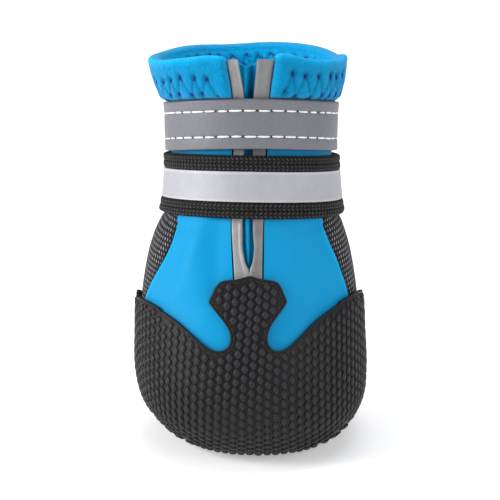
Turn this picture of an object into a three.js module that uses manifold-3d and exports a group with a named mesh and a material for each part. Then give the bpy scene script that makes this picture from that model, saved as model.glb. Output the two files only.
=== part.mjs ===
import * as THREE from 'three';
import { mergeVertices } from 'three/addons/utils/BufferGeometryUtils.js';
import Module from 'manifold-3d';

// A dog's boot on its sole: millimetres, toe towards -Y, right side +X, floor at z = 0.

const wasm = await Module();
wasm.setup();

// Driving sizes of the last
const footLength = 71.2;
const ballWidth = 67.2;
const instepHeight = 53.7;
const ankleWidth = 49.8;
const ankleDepth = 44.2;
const ankleSetBack = 8.5;
const shaftRise = 64.3;

// Walls, layers and clearances
const clearance = 0.3;
const facetAllowance = 0.15;
const upperWall = 1.8;
const meshRecess = 0.45;
const gussetWall = 1.2;
const insoleThickness = 2.4;
const lastingGap = 0.6;
const rubberWall = 1.6;
const soleThickness = 3;
const cuffThickness = 1.8;
const cuffPuff = 0.7;
const cuffLip = 1.5;
const pipingProud = 0.5;

// Front slit
const slitWidth = 11;
const gussetWidth = 22;
const gussetDip = 1.8;

// Straps, measured across the band
const lowerStrapWidth = 20;
const lowerStrapThickness = 1.6;
const upperStrapWidth = 16.3;
const upperStrapThickness = 1.4;
const strapOverlap = 24;
const tapeWidth = 10;
const tapeThickness = 0.5;
const tapeSink = 0.3;

// Rubber sole and toe cap
const tabOverlap = 0.85;
const heelRubberHeight = 24;
const capHalfWidth = 34.6;
const capSkew = 0.055;
const capTiltDegrees = 19;
const archRecess = 0.8;
const archLength = 9;
const archPlace = 5.5;
const grooveDepth = 1.3;
const grooveWidth = 1.8;
const groovePitch = 7.6;

// Facets
const loopFacets = 44;
const strapFacets = 50;

// Rows of the foot: height as a share of the instep height; half width as a share of the ball width;
// front and back as shares of the foot length; sway of the middle to the right as a share of the ball
// width; widest place as a share of the foot length; squareness is the exponent of the outline.
const FOOT = [
  { height: 0.000, width: 0.262, front: 0.275, back: 0.330, sway: 0.034, widest: 0.000, square: 2.20 },
  { height: 0.017, width: 0.330, front: 0.348, back: 0.384, sway: 0.034, widest: 0.000, square: 2.20 },
  { height: 0.078, width: 0.412, front: 0.440, back: 0.440, sway: 0.026, widest: 0.000, square: 2.20 },
  { height: 0.190, width: 0.480, front: 0.511, back: 0.471, sway: 0.014, widest: 0.000, square: 2.25 },
  { height: 0.348, width: 0.503, front: 0.514, back: 0.483, sway: 0.004, widest: 0.000, square: 2.25 },
  { height: 0.553, width: 0.500, front: 0.467, back: 0.481, sway: 0.000, widest: 0.007, square: 2.20 },
  { height: 0.777, width: 0.492, front: 0.402, back: 0.469, sway: -0.002, widest: 0.028, square: 2.10 },
  { height: 1.000, width: 0.463, front: 0.334, back: 0.453, sway: -0.002, widest: 0.056, square: 2.00 },
];

// Rows of the shaft: height as a share of the rise above the instep; half width as a share of the
// ankle width; front and back from the ankle's middle as shares of the ankle depth; sway as a share of
// the ankle width; widest place from the ankle's middle as a share of the ankle depth.
const SHAFT = [
  { height: 0.100, width: 0.585, front: 0.672, back: 0.520, sway: 0.000, widest: -0.074, square: 2.00 },
  { height: 0.143, width: 0.558, front: 0.654, back: 0.514, sway: 0.003, widest: -0.066, square: 2.00 },
  { height: 0.187, width: 0.522, front: 0.636, back: 0.509, sway: 0.006, widest: -0.057, square: 2.00 },
  { height: 0.358, width: 0.494, front: 0.559, back: 0.495, sway: 0.009, widest: -0.023, square: 2.00 },
  { height: 0.544, width: 0.490, front: 0.500, back: 0.500, sway: 0.004, widest: 0.000, square: 2.00 },
  { height: 0.731, width: 0.502, front: 0.468, back: 0.527, sway: 0.003, widest: 0.023, square: 2.00 },
  { height: 0.871, width: 0.550, front: 0.466, back: 0.568, sway: -0.012, widest: 0.045, square: 1.95 },
  { height: 0.995, width: 0.588, front: 0.472, back: 0.600, sway: -0.024, widest: 0.061, square: 1.90 },
  { height: 1.089, width: 0.602, front: 0.473, back: 0.613, sway: -0.026, widest: 0.070, square: 1.88 },
];

// Level lines round the shaft, as shares of the rise above the instep; lean lowers the right side
const RIM = { front: 1.000, side: 0.930, back: 0.925 };
const UPPER_STRAP = { front: 0.680, side: 0.593, back: 0.535 };
const LOWER_STRAP = { front: 0.390, side: 0.320, back: 0.256, lean: 0.007 };

// The slit's edges: height as a share of the rise; the rest are shares of half the slit's width.
// Outer is where the panel ends and the piping starts, inner is the piping's free edge.
const SLIT = [
  { height: -0.015, outerLeft: 0.84, innerLeft: 0.10, outerRight: 0.66, innerRight: 0.06 },
  { height: 0.070, outerLeft: 0.90, innerLeft: 0.26, outerRight: 0.67, innerRight: 0.12 },
  { height: 0.200, outerLeft: 0.96, innerLeft: 0.40, outerRight: 0.68, innerRight: 0.15 },
  { height: 0.358, outerLeft: 0.93, innerLeft: 0.38, outerRight: 0.76, innerRight: 0.16 },
  { height: 0.800, outerLeft: 0.91, innerLeft: 0.33, outerRight: 1.01, innerRight: 0.20 },
  { height: 0.964, outerLeft: 1.22, innerLeft: 0.64, outerRight: 1.27, innerRight: 0.38 },
  { height: 1.080, outerLeft: 1.36, innerLeft: 0.74, outerRight: 1.39, innerRight: 0.46 },
];

// Seam between the front panel and the mesh: height as a share of the instep height, angles in
// degrees from the toe
const SEAM = [
  { height: 0.760, left: 73.5, right: 65.2 },
  { height: 0.870, left: 66.1, right: 63.1 },
  { height: 0.980, left: 57.9, right: 59.0 },
  { height: 1.080, left: 52.2, right: 54.2 },
  { height: 1.180, left: 51.9, right: 52.2 },
  { height: 1.300, left: 53.0, right: 52.0 },
  { height: 1.450, left: 53.0, right: 52.0 },
];
const meshBottom = 0.30;

// Half of the toe cap's upper edge, on a plane that leans back: across as a share of the cap's half
// width, up as a share of the height of its peak. Both tables mirror to the other side, wider on the left.
const TAB_EDGE = [
  { across: 0.000, up: 1.000 },
  { across: 0.105, up: 0.976 },
  { across: 0.205, up: 0.970 },
  { across: 0.252, up: 0.957 },
  { across: 0.284, up: 0.925 },
  { across: 0.312, up: 0.878 },
  { across: 0.340, up: 0.831 },
];
const SCOOP_EDGE = [
  { across: 0.340, up: 0.831 },
  { across: 0.297, up: 0.784 },
  { across: 0.236, up: 0.725 },
  { across: 0.184, up: 0.667 },
  { across: 0.160, up: 0.613 },
  { across: 0.166, up: 0.564 },
  { across: 0.200, up: 0.529 },
  { across: 0.257, up: 0.514 },
  { across: 0.319, up: 0.527 },
  { across: 0.374, up: 0.551 },
  { across: 0.463, up: 0.610 },
  { across: 0.528, up: 0.656 },
  { across: 0.597, up: 0.703 },
  { across: 0.678, up: 0.749 },
  { across: 0.758, up: 0.789 },
  { across: 0.857, up: 0.836 },
  { across: 0.940, up: 0.873 },
  { across: 1.020, up: 0.909 },
  { across: 1.160, up: 0.920 },
];

// The rubber's edge along the side: along as a share of the foot length, up as a share of the drop
// from the side tip to the heel
const SIDE_EDGE = [
  { along: 0.000, up: 1.00 },
  { along: 0.060, up: 0.93 },
  { along: 0.110, up: 0.84 },
  { along: 0.190, up: 0.56 },
  { along: 0.290, up: 0.24 },
  { along: 0.400, up: 0.05 },
  { along: 0.560, up: 0.00 },
];

// Materials
const MATERIALS = {
  rubber: { color: 0x2d2c30, roughness: 0.75, metalness: 0 },
  softShell: { color: 0x1ca0e2, roughness: 0.7, metalness: 0 },
  foam: { color: 0x2a2a2e, roughness: 0.9, metalness: 0 },
  reflective: { color: 0x9a9898, roughness: 0.45, metalness: 0.2 },
  silver: { color: 0xc8c8cc, roughness: 0.35, metalness: 0.4 },
  webbing: { color: 0x1c1c1e, roughness: 0.85, metalness: 0 },
  greyStrap: { color: 0x7d7d84, roughness: 0.5, metalness: 0.2 },
};

const lastBottom = soleThickness + clearance;
const instepLevel = lastBottom + instepHeight;
const radians = THREE.MathUtils.degToRad;

// Sections of the last in millimetres, from the two tables
const SECTIONS = [
  ...FOOT.map((row) => ({
    z: lastBottom + row.height * instepHeight,
    halfWidth: row.width * ballWidth,
    front: -row.front * footLength,
    back: row.back * footLength,
    widest: row.widest * footLength,
    sway: row.sway * ballWidth,
    square: row.square,
  })),
  ...SHAFT.map((row) => ({
    z: instepLevel + row.height * shaftRise,
    halfWidth: row.width * ankleWidth,
    front: ankleSetBack - row.front * ankleDepth,
    back: ankleSetBack + row.back * ankleDepth,
    widest: ankleSetBack + row.widest * ankleDepth,
    sway: row.sway * ankleWidth,
    square: row.square,
  })),
];

// A smooth curve through one column of a table whose rows rise by their key
function readTable(rows, key, column, at) {
  const last = rows.length - 1;
  const place = THREE.MathUtils.clamp(at, rows[0][key], rows[last][key]);
  let low = 0;
  while (low < last - 1 && rows[low + 1][key] < place) low += 1;
  const slope = (first, second) =>
    (rows[second][column] - rows[first][column]) / (rows[second][key] - rows[first][key]);
  const step = rows[low + 1][key] - rows[low][key];
  const part = (place - rows[low][key]) / step;
  const leave = slope(Math.max(low - 1, 0), low + 1) * step;
  const arrive = slope(low, Math.min(low + 2, last)) * step;
  const square = part * part;
  const cube = square * part;
  return (
    (2 * cube - 3 * square + 1) * rows[low][column] +
    (cube - 2 * square + part) * leave +
    (3 * square - 2 * cube) * rows[low + 1][column] +
    (cube - square) * arrive
  );
}

function section(z) {
  const read = (column) => readTable(SECTIONS, 'z', column, z);
  return {
    halfWidth: read('halfWidth'),
    front: read('front'),
    back: read('back'),
    widest: read('widest'),
    sway: read('sway'),
    square: read('square'),
  };
}

// A point of the last. The angle is 0 at the toe and grows towards the right side.
function lastPoint(angle, z) {
  const { halfWidth, front, back, widest, sway, square } = section(z);
  const sine = Math.sin(angle);
  const cosine = Math.cos(angle);
  const power = 2 / square;
  const reach = cosine > 0 ? widest - front : back - widest;
  return new THREE.Vector3(
    sway + halfWidth * Math.sign(sine) * Math.abs(sine) ** power,
    widest - reach * Math.sign(cosine) * Math.abs(cosine) ** power,
    z,
  );
}

function lastNormal(angle, z) {
  const turn = 0.01;
  const rise = 0.05;
  const along = lastPoint(angle + turn, z).sub(lastPoint(angle - turn, z));
  const up = lastPoint(angle, z + rise).sub(lastPoint(angle, Math.max(z - rise, lastBottom)));
  return along.cross(up).normalize();
}

// A point off the last by a distance along its normal
function offLast(angle, z, distance) {
  return lastPoint(angle, z).addScaledVector(lastNormal(angle, z), distance);
}

// The angle at which the front of the last has a given place across
function angleAcross(x, z) {
  const { halfWidth, sway, square } = section(z);
  const share = (x - sway) / halfWidth;
  return Math.asin(Math.sign(share) * Math.abs(share) ** (square / 2));
}

// A level line round the shaft from its front, side and back heights
function levelLine({ front, side, back, lean = 0 }, angle) {
  const middle = (front + back) / 4;
  const share =
    middle + side / 2 + ((front - back) / 2) * Math.cos(angle) + (middle - side / 2) * Math.cos(2 * angle);
  return instepLevel + (share - lean * Math.sin(angle)) * shaftRise;
}

// Closed bodies

function toManifold(geometry) {
  const bare = geometry.index ? geometry.toNonIndexed() : geometry.clone();
  bare.deleteAttribute('normal');
  bare.deleteAttribute('uv');
  const merged = mergeVertices(bare, 1e-5);
  return new wasm.Manifold(
    new wasm.Mesh({
      numProp: 3,
      vertProperties: new Float32Array(merged.attributes.position.array),
      triVerts: new Uint32Array(merged.index.array),
    }),
  );
}

function toGeometry(manifold) {
  const mesh = manifold.getMesh();
  const geometry = new THREE.BufferGeometry();
  geometry.setAttribute('position', new THREE.BufferAttribute(new Float32Array(mesh.vertProperties), 3));
  geometry.setIndex(new THREE.BufferAttribute(new Uint32Array(mesh.triVerts), 1));
  geometry.computeVertexNormals();
  return geometry;
}

function geometryOf(points, faces) {
  const geometry = new THREE.BufferGeometry();
  geometry.setAttribute('position', new THREE.Float32BufferAttribute(points.flatMap((p) => p.toArray()), 3));
  geometry.setIndex(faces);
  return geometry;
}

// A bent block: place(u, v, w) gives its point, u along, v up and w from the inside out.
// A ring joins its last row along u to its first.
function bentBlock({ along, up, ring = false, place }) {
  const columns = ring ? along : along + 1;
  const points = [];
  for (let w = 0; w <= 1; w += 1) {
    for (let i = 0; i < columns; i += 1) {
      for (let j = 0; j <= up; j += 1) points.push(place(i / along, j / up, w));
    }
  }
  const layer = columns * (up + 1);
  const at = (i, j, w) => w * layer + (i % columns) * (up + 1) + j;
  const faces = [];
  const quad = (a, b, c, d) => faces.push(a, b, c, a, c, d);
  for (let i = 0; i < along; i += 1) {
    for (let j = 0; j < up; j += 1) {
      quad(at(i, j, 1), at(i + 1, j, 1), at(i + 1, j + 1, 1), at(i, j + 1, 1));
      quad(at(i, j, 0), at(i, j + 1, 0), at(i + 1, j + 1, 0), at(i + 1, j, 0));
    }
    quad(at(i, up, 1), at(i + 1, up, 1), at(i + 1, up, 0), at(i, up, 0));
    quad(at(i, 0, 0), at(i + 1, 0, 0), at(i + 1, 0, 1), at(i, 0, 1));
  }
  if (!ring) {
    for (let j = 0; j < up; j += 1) {
      quad(at(0, j, 0), at(0, j, 1), at(0, j + 1, 1), at(0, j + 1, 0));
      quad(at(along, j, 1), at(along, j, 0), at(along, j + 1, 0), at(along, j + 1, 1));
    }
  }
  return geometryOf(points, faces);
}

// A solid through a stack of loops, closed by a fan at each end
function stackedLoops(loops) {
  const count = loops[0].length;
  const middle = (loop) =>
    loop.reduce((sum, point) => sum.add(point), new THREE.Vector3()).divideScalar(count);
  const points = [...loops.flat(), middle(loops[0]), middle(loops.at(-1))];
  const bottom = loops.length * count;
  const top = bottom + 1;
  const faces = [];
  for (let i = 0; i < count; i += 1) {
    const next = (i + 1) % count;
    for (let k = 0; k < loops.length - 1; k += 1) {
      const low = k * count;
      const high = low + count;
      faces.push(low + i, low + next, high + next, low + i, high + next, high + i);
    }
    const highest = bottom - count;
    faces.push(bottom, next, i, top, highest + i, highest + next);
  }
  return geometryOf(points, faces);
}

function loopOf(place) {
  return Array.from({ length: loopFacets }, (_, i) => place((i / loopFacets) * 2 * Math.PI));
}

function flattened(point, z) {
  return new THREE.Vector3(point.x, point.y, z);
}

// Heights of the rows that carry the foot's roundings, as shares of the instep height
const FOOT_ROWS = [0, 0.017, 0.05, 0.11, 0.2, 0.33, 0.5, 0.67, 0.84];

// Heights of the rows up the shaft, as shares of the way from the instep to the rim
const SHAFT_ROWS = [0, 0.12, 0.23, 0.36, 0.5, 0.667, 0.833, 1];

// Upper: one wall from the lasting edge to the rim, slit in front, its mesh sides set a step in
function wallRim(angle) {
  return levelLine(RIM, angle) - cuffLip - clearance;
}

function buildUpper() {
  const lastRow = FOOT_ROWS.length + SHAFT_ROWS.length - 1;
  const rowHeight = (index, angle) => {
    if (index < FOOT_ROWS.length) return lastBottom + FOOT_ROWS[index] * instepHeight;
    return THREE.MathUtils.lerp(instepLevel, wallRim(angle), SHAFT_ROWS[index - FOOT_ROWS.length]);
  };
  const wall = bentBlock({
    along: loopFacets,
    up: lastRow,
    ring: true,
    place: (u, v, w) => {
      const angle = u * 2 * Math.PI;
      const z = rowHeight(Math.round(v * lastRow), angle);
      return offLast(angle, z, w ? 0 : -upperWall);
    },
  });
  return toGeometry(toManifold(wall).subtract(slitSolid()).subtract(meshSolid()));
}

function slitEdge(column, z) {
  return (readTable(SLIT, 'height', column, (z - instepLevel) / shaftRise) * slitWidth) / 2;
}

const slitBottom = instepLevel + SLIT[0].height * shaftRise;

function slitSolid() {
  const top = instepLevel + SLIT.at(-1).height * shaftRise;
  const reach = upperWall * 2;
  return toManifold(
    bentBlock({
      along: 3,
      up: 12,
      place: (u, v, w) => {
        const z = THREE.MathUtils.lerp(slitBottom - clearance, top, v);
        const left = -slitEdge('outerLeft', z) - clearance;
        const right = slitEdge('outerRight', z) + clearance;
        const angle = angleAcross(THREE.MathUtils.lerp(left, right, u), z);
        return offLast(angle, z, w ? reach : -reach);
      },
    }),
  );
}

function meshSolid() {
  const bottom = lastBottom + meshBottom * instepHeight;
  return toManifold(
    bentBlock({
      along: 32,
      up: 8,
      place: (u, v, w) => {
        const top = levelLine(LOWER_STRAP, Math.PI * (0.3 + 1.4 * u));
        const z = THREE.MathUtils.lerp(bottom, top, v);
        const height = (z - lastBottom) / instepHeight;
        const right = radians(readTable(SEAM, 'height', 'right', height));
        const left = radians(360 - readTable(SEAM, 'height', 'left', height));
        const angle = THREE.MathUtils.lerp(right, left, u);
        return offLast(angle, z, w ? upperWall : -meshRecess);
      },
    }),
  );
}

// Gusset: the stretch panel behind the slit, with a shallow dip in its top edge
function buildGusset() {
  const bottom = instepLevel - gussetWidth / 3;
  const outside = -upperWall - clearance;
  return bentBlock({
    along: 6,
    up: 10,
    place: (u, v, w) => {
      const x = (u - 0.5) * gussetWidth;
      const spread = Math.abs(2 * u - 1);
      const top = wallRim(0) - clearance - gussetDip * (1 - spread);
      const z = THREE.MathUtils.lerp(bottom, top, v);
      return offLast(angleAcross(x, z), z, w ? outside : outside - gussetWall);
    },
  });
}

// Piping: a tape bound over each edge of the slit, proud of the panel where no strap holds it down
function buildPiping(side) {
  const sign = side === 'Left' ? -1 : 1;
  const bottom = slitBottom + clearance;
  const top = wallRim(0);
  const strapBottom = bandEdge(LOWER_STRAP, lowerStrapWidth, -1)(0);
  const strapTop = bandEdge(UPPER_STRAP, upperStrapWidth, 1)(0);
  const ease = pipingProud * 6;
  const proud = (z) => {
    const above = THREE.MathUtils.smoothstep(z, strapTop, strapTop + ease);
    const below =
      THREE.MathUtils.smoothstep(z, instepLevel + clearance, instepLevel + ease) *
      (1 - THREE.MathUtils.smoothstep(z, strapBottom - ease, strapBottom));
    return pipingProud * (above + below);
  };
  return bentBlock({
    along: 1,
    up: 20,
    place: (u, v, w) => {
      const z = THREE.MathUtils.lerp(bottom, top, v);
      const outer = sign * slitEdge(`outer${side}`, z);
      const inner = sign * slitEdge(`inner${side}`, z);
      const [from, to] = sign < 0 ? [outer, inner] : [inner, outer];
      const angle = angleAcross(THREE.MathUtils.lerp(from, to, u), z);
      return offLast(angle, z, w ? proud(z) : -upperWall);
    },
  });
}

// Straps: bands round the shaft whose end laps over their start at the back.
// A leaning band covers a little less height than its width.
const bandHeightShare = 0.92;
const bandSeat = clearance + facetAllowance;

function bandEdge(line, width, side) {
  return (angle) => levelLine(line, angle) + (side * width * bandHeightShare) / 2;
}

function lapAngle() {
  return strapOverlap / (ankleDepth / 2);
}

function bandDistance(turn, thickness) {
  const lap = lapAngle();
  const climbStart = 2 * Math.PI - lap * 1.25;
  const climbEnd = 2 * Math.PI - lap * 0.15;
  return (thickness + clearance) * THREE.MathUtils.smoothstep(turn, climbStart, climbEnd);
}

// Rows across a band: place as a share of its width, and how deep its face is sunk there
const PLAIN_BAND = [0, 0.5, 1].map((share) => ({ share, sunk: 0 }));

function bandSolid({ line, width, rows = PLAIN_BAND, from, to, inner, outer, thickness }) {
  const start = Math.PI - lapAngle() / 2;
  const low = bandEdge(line, width, -1);
  const high = bandEdge(line, width, 1);
  return bentBlock({
    along: strapFacets,
    up: rows.length - 1,
    place: (u, v, w) => {
      const { share, sunk } = rows[Math.round(v * (rows.length - 1))];
      const turn = THREE.MathUtils.lerp(from, to, u);
      const angle = start + turn;
      const z = THREE.MathUtils.lerp(low(angle), high(angle), share);
      return offLast(angle, z, bandDistance(turn, thickness) + (w ? outer - sunk : inner));
    },
  });
}

// The lower strap's face has a shallow channel along its middle, in which the tape lies
function channelRows() {
  const half = (tapeWidth / 2 + clearance) / lowerStrapWidth;
  const ramp = clearance / 2 / lowerStrapWidth;
  return [
    { share: 0, sunk: 0 },
    { share: 0.5 - half - ramp, sunk: 0 },
    { share: 0.5 - half, sunk: tapeSink },
    { share: 0.5, sunk: tapeSink },
    { share: 0.5 + half, sunk: tapeSink },
    { share: 0.5 + half + ramp, sunk: 0 },
    { share: 1, sunk: 0 },
  ];
}

function buildLowerStrap() {
  return bandSolid({
    line: LOWER_STRAP,
    width: lowerStrapWidth,
    rows: channelRows(),
    from: 0,
    to: 2 * Math.PI + lapAngle(),
    inner: bandSeat,
    outer: bandSeat + lowerStrapThickness,
    thickness: lowerStrapThickness,
  });
}

function buildLowerTape() {
  const seat = bandSeat + lowerStrapThickness - tapeSink + clearance;
  return bandSolid({
    line: LOWER_STRAP,
    width: tapeWidth,
    from: lapAngle() + 0.08,
    to: 2 * Math.PI + lapAngle() - 0.04,
    inner: seat,
    outer: seat + tapeThickness,
    thickness: lowerStrapThickness,
  });
}

function buildUpperStrap() {
  return bandSolid({
    line: UPPER_STRAP,
    width: upperStrapWidth,
    from: 0,
    to: 2 * Math.PI + lapAngle(),
    inner: bandSeat,
    outer: bandSeat + upperStrapThickness,
    thickness: upperStrapThickness,
  });
}

// Cuff: a padded band above the upper strap, with a lip over the wall's rim, open at the slit
function cuffAngle(u, z) {
  const right = angleAcross(slitEdge('outerRight', z) + clearance, z);
  const left = 2 * Math.PI + angleAcross(-slitEdge('outerLeft', z) - clearance, z);
  return THREE.MathUtils.lerp(right, left, u);
}

// The height and angle of a point of the cuff settle together, because its front ends lean
function cuffPlace(u, heightAt) {
  let z = heightAt(cuffAngle(u, levelLine(RIM, 0)));
  for (let i = 0; i < 4; i += 1) z = heightAt(cuffAngle(u, z));
  return { angle: cuffAngle(u, z), z };
}

function buildCuff() {
  const bottomOf = (angle) => bandEdge(UPPER_STRAP, upperStrapWidth, 1)(angle) + clearance;
  const rimOf = (angle) => levelLine(RIM, angle);
  const lipOf = (angle) => rimOf(angle) - cuffLip;
  const between = (share) => (angle) => THREE.MathUtils.lerp(bottomOf(angle), lipOf(angle), share);
  // Rows from the lower edge to the rim: the inner face steps in over the wall at the lip
  const rows = [
    { inner: bottomOf, seat: bandSeat, share: 0 },
    { inner: between(0.36), seat: bandSeat, share: 0.35 },
    { inner: between(0.72), seat: bandSeat, share: 0.68 },
    { inner: lipOf, seat: bandSeat, share: 0.92 },
    { inner: lipOf, seat: -upperWall, share: 0.96 },
    { inner: rimOf, seat: -upperWall, share: 1 },
  ];
  return bentBlock({
    along: 42,
    up: rows.length - 1,
    place: (u, v, w) => {
      const { inner, seat, share } = rows[Math.round(v * (rows.length - 1))];
      const outer = (at) => THREE.MathUtils.lerp(bottomOf(at), rimOf(at), share);
      const { angle, z } = cuffPlace(u, w ? outer : inner);
      const puff = cuffThickness + cuffPuff * Math.sin(Math.PI * share);
      return offLast(angle, z, w ? bandSeat + puff : seat);
    },
  });
}

// Sole: a rubber shell below and round the foot, cut to the cap's edge and the side's edge
const shellRows = [...FOOT_ROWS, 1, 1.12];

function rubberOffset(z) {
  const blend = 1 - THREE.MathUtils.smoothstep(z, lastBottom, lastBottom + soleThickness * 3);
  return clearance + rubberWall + (soleThickness - rubberWall) * blend;
}

function rubberOutside() {
  const loops = shellRows.map((share) => {
    const z = lastBottom + share * instepHeight;
    return loopOf((angle) => offLast(angle, z, rubberOffset(z)));
  });
  const flat = loops[0].map((point) => flattened(point, 0));
  return toManifold(stackedLoops([flat, ...loops.slice(1)]));
}

function rubberInside() {
  const rows = [...shellRows, 1.2];
  const loops = rows.map((share) => {
    const z = lastBottom + share * instepHeight;
    return loopOf((angle) => offLast(angle, z, clearance));
  });
  loops[0] = loops[0].map((point) => flattened(point, soleThickness));
  return toManifold(stackedLoops(loops));
}

// The front cut stops and the side cut starts just in front of the last's widest place
const sideStart = -0.02 * footLength;

// How high a point lies on the leaning plane, and how high the tab's peak is on it: the tab just
// covers the slit's lower end
function heightOnPlane(point) {
  const tilt = radians(capTiltDegrees);
  return point.z * Math.cos(tilt) + point.y * Math.sin(tilt);
}

function capPeakHeight() {
  return heightOnPlane(offLast(0, slitBottom + tabOverlap, clearance + rubberWall));
}

// The cap's edge is drawn on the leaning plane and cut straight through the shell
function capCutter() {
  const peak = capPeakHeight();
  const place = ({ across, up }) => new THREE.Vector2(across * capHalfWidth, up * peak);
  const tab = TAB_EDGE.map(place);
  const scoop = new THREE.SplineCurve(SCOOP_EDGE.map(place)).getPoints(36);
  const half = [...tab, ...scoop.slice(1)];
  const right = half.map((p) => new THREE.Vector2(p.x * (1 - capSkew), p.y));
  const left = half.slice(1).map((p) => new THREE.Vector2(-p.x * (1 + capSkew), p.y));
  const edge = [...left.reverse(), ...right];
  const below = -footLength;
  const outline = [
    new THREE.Vector2(edge[0].x, below),
    new THREE.Vector2(edge.at(-1).x, below),
    ...edge.reverse(),
  ];
  const depth = footLength * 2;
  const geometry = new THREE.ExtrudeGeometry(new THREE.Shape(outline), { depth, bevelEnabled: false });
  geometry.translate(0, 0, -depth / 2);
  geometry.rotateX(Math.PI / 2 - radians(capTiltDegrees));
  const front = new THREE.BoxGeometry(footLength * 2, footLength * 2, footLength * 4);
  front.translate(0, sideStart - footLength, 0);
  return toManifold(geometry).intersect(toManifold(front));
}

function sideCutter() {
  const tilt = radians(capTiltDegrees);
  const tipOnPlane = SCOOP_EDGE.at(-1).up * capPeakHeight();
  const tip = (tipOnPlane - sideStart * Math.sin(tilt)) / Math.cos(tilt);
  const place = ({ along, up }) =>
    new THREE.Vector2(along * footLength, THREE.MathUtils.lerp(heelRubberHeight, tip, up));
  const curve = new THREE.SplineCurve(SIDE_EDGE.map(place)).getPoints(18);
  const end = curve.at(-1);
  const outline = [
    new THREE.Vector2(sideStart - clearance, -footLength),
    new THREE.Vector2(end.x, -footLength),
    ...curve.reverse(),
    new THREE.Vector2(sideStart - clearance, tip),
  ];
  const depth = ballWidth * 2;
  const geometry = new THREE.ExtrudeGeometry(new THREE.Shape(outline), { depth, bevelEnabled: false });
  geometry.translate(0, 0, -depth / 2);
  geometry.rotateX(Math.PI / 2);
  geometry.rotateZ(Math.PI / 2);
  return toManifold(geometry);
}

// Tread under the sole: an arch between forefoot and heel, and cross grooves that bow forward
function boxAt(width, length, height, y, z) {
  const box = new THREE.BoxGeometry(width, length, height);
  box.translate(0, y, z);
  return toManifold(box);
}

function groove(y) {
  const bow = grooveWidth * 2;
  const halfWidth = ballWidth / 2 + rubberWall;
  return toManifold(
    bentBlock({
      along: 10,
      up: 1,
      place: (u, v, w) => {
        const x = (u - 0.5) * 2 * halfWidth;
        const middle = y + bow * (x / halfWidth) ** 2;
        const z = v ? grooveDepth : -grooveDepth;
        return new THREE.Vector3(x, middle + (w ? -grooveWidth / 2 : grooveWidth / 2), z);
      },
    }),
  );
}

function buildOutsole() {
  let sole = rubberOutside().subtract(rubberInside()).intersect(capCutter().add(sideCutter()));
  sole = sole.subtract(boxAt(ballWidth * 2, archLength, archRecess * 2, archPlace, 0));
  const front = archPlace - archLength / 2;
  const back = archPlace + archLength / 2;
  for (const step of [1, 2, 3]) sole = sole.subtract(groove(front - step * groovePitch));
  for (const step of [1, 2]) sole = sole.subtract(groove(back + (step - 0.35) * groovePitch));
  return toGeometry(sole);
}

// Insole: a foam sheet on the lasting edge, with a step that fills the opening inside that edge
function insoleLoop(z, inside) {
  const row = (angle) => {
    let low = lastBottom;
    let high = lastBottom + insoleThickness * 6;
    for (let i = 0; i < 30; i += 1) {
      const middle = (low + high) / 2;
      if (offLast(angle, middle, inside).z < z) low = middle;
      else high = middle;
    }
    return flattened(offLast(angle, low, inside), z);
  };
  return loopOf(row);
}

function buildInsole() {
  const inside = -upperWall - clearance;
  const seat = lastBottom + upperWall + clearance;
  const top = seat + insoleThickness;
  const step = loopOf((angle) => {
    const edge = lastPoint(angle, lastBottom);
    const normal = lastNormal(angle, lastBottom + clearance).setZ(0).normalize();
    return flattened(edge.addScaledVector(normal, -lastingGap - clearance), lastBottom);
  });
  const raised = step.map((point) => flattened(point, seat + clearance));
  const plug = toManifold(stackedLoops([step, raised]));
  const sheet = toManifold(
    stackedLoops([insoleLoop(seat, inside), insoleLoop((seat + top) / 2, inside), insoleLoop(top, inside)]),
  );
  return toGeometry(plug.add(sheet));
}

// The boot
const boot = new THREE.Group();

function addPart(name, geometry, material) {
  const mesh = new THREE.Mesh(geometry, new THREE.MeshStandardMaterial(MATERIALS[material]));
  mesh.name = name;
  boot.add(mesh);
}

addPart('outsole', buildOutsole(), 'rubber');
addPart('upper', buildUpper(), 'softShell');
addPart('insole', buildInsole(), 'foam');
addPart('gusset', buildGusset(), 'softShell');
addPart('piping_left', buildPiping('Left'), 'reflective');
addPart('piping_right', buildPiping('Right'), 'reflective');
addPart('collar_cuff', buildCuff(), 'softShell');
addPart('strap_lower', buildLowerStrap(), 'webbing');
addPart('strap_lower_tape', buildLowerTape(), 'silver');
addPart('strap_upper', buildUpperStrap(), 'greyStrap');

export default boot;
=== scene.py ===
"""Dog boot: soft-shell boot for a dog's paw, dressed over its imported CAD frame."""

import math

import bmesh
import bpy
import numpy as np
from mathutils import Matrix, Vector


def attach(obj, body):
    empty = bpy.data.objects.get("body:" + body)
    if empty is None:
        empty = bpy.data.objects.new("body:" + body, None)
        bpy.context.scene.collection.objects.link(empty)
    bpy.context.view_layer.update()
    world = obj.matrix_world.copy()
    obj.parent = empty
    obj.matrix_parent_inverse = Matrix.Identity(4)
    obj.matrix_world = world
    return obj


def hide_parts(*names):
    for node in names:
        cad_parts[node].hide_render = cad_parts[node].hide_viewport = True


bl_info = {
    "name": "Dog Boot",
    "version": (1, 0, 0),
    "blender": (4, 5, 0),
    "location": "3D View > Sidebar > Dog Boot",
    "description": "Builds the looks of a soft-shell dog boot over its packed frame",
    "category": "Object",
}

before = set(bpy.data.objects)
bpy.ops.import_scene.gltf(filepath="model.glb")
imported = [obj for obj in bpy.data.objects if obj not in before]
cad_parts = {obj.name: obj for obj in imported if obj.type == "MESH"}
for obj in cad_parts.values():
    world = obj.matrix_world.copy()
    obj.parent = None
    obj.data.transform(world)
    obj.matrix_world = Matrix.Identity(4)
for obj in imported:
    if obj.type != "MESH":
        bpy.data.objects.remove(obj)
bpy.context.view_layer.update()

# Sizes are in millimetres up to the mesh, which is in metres
MM = 0.001

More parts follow.
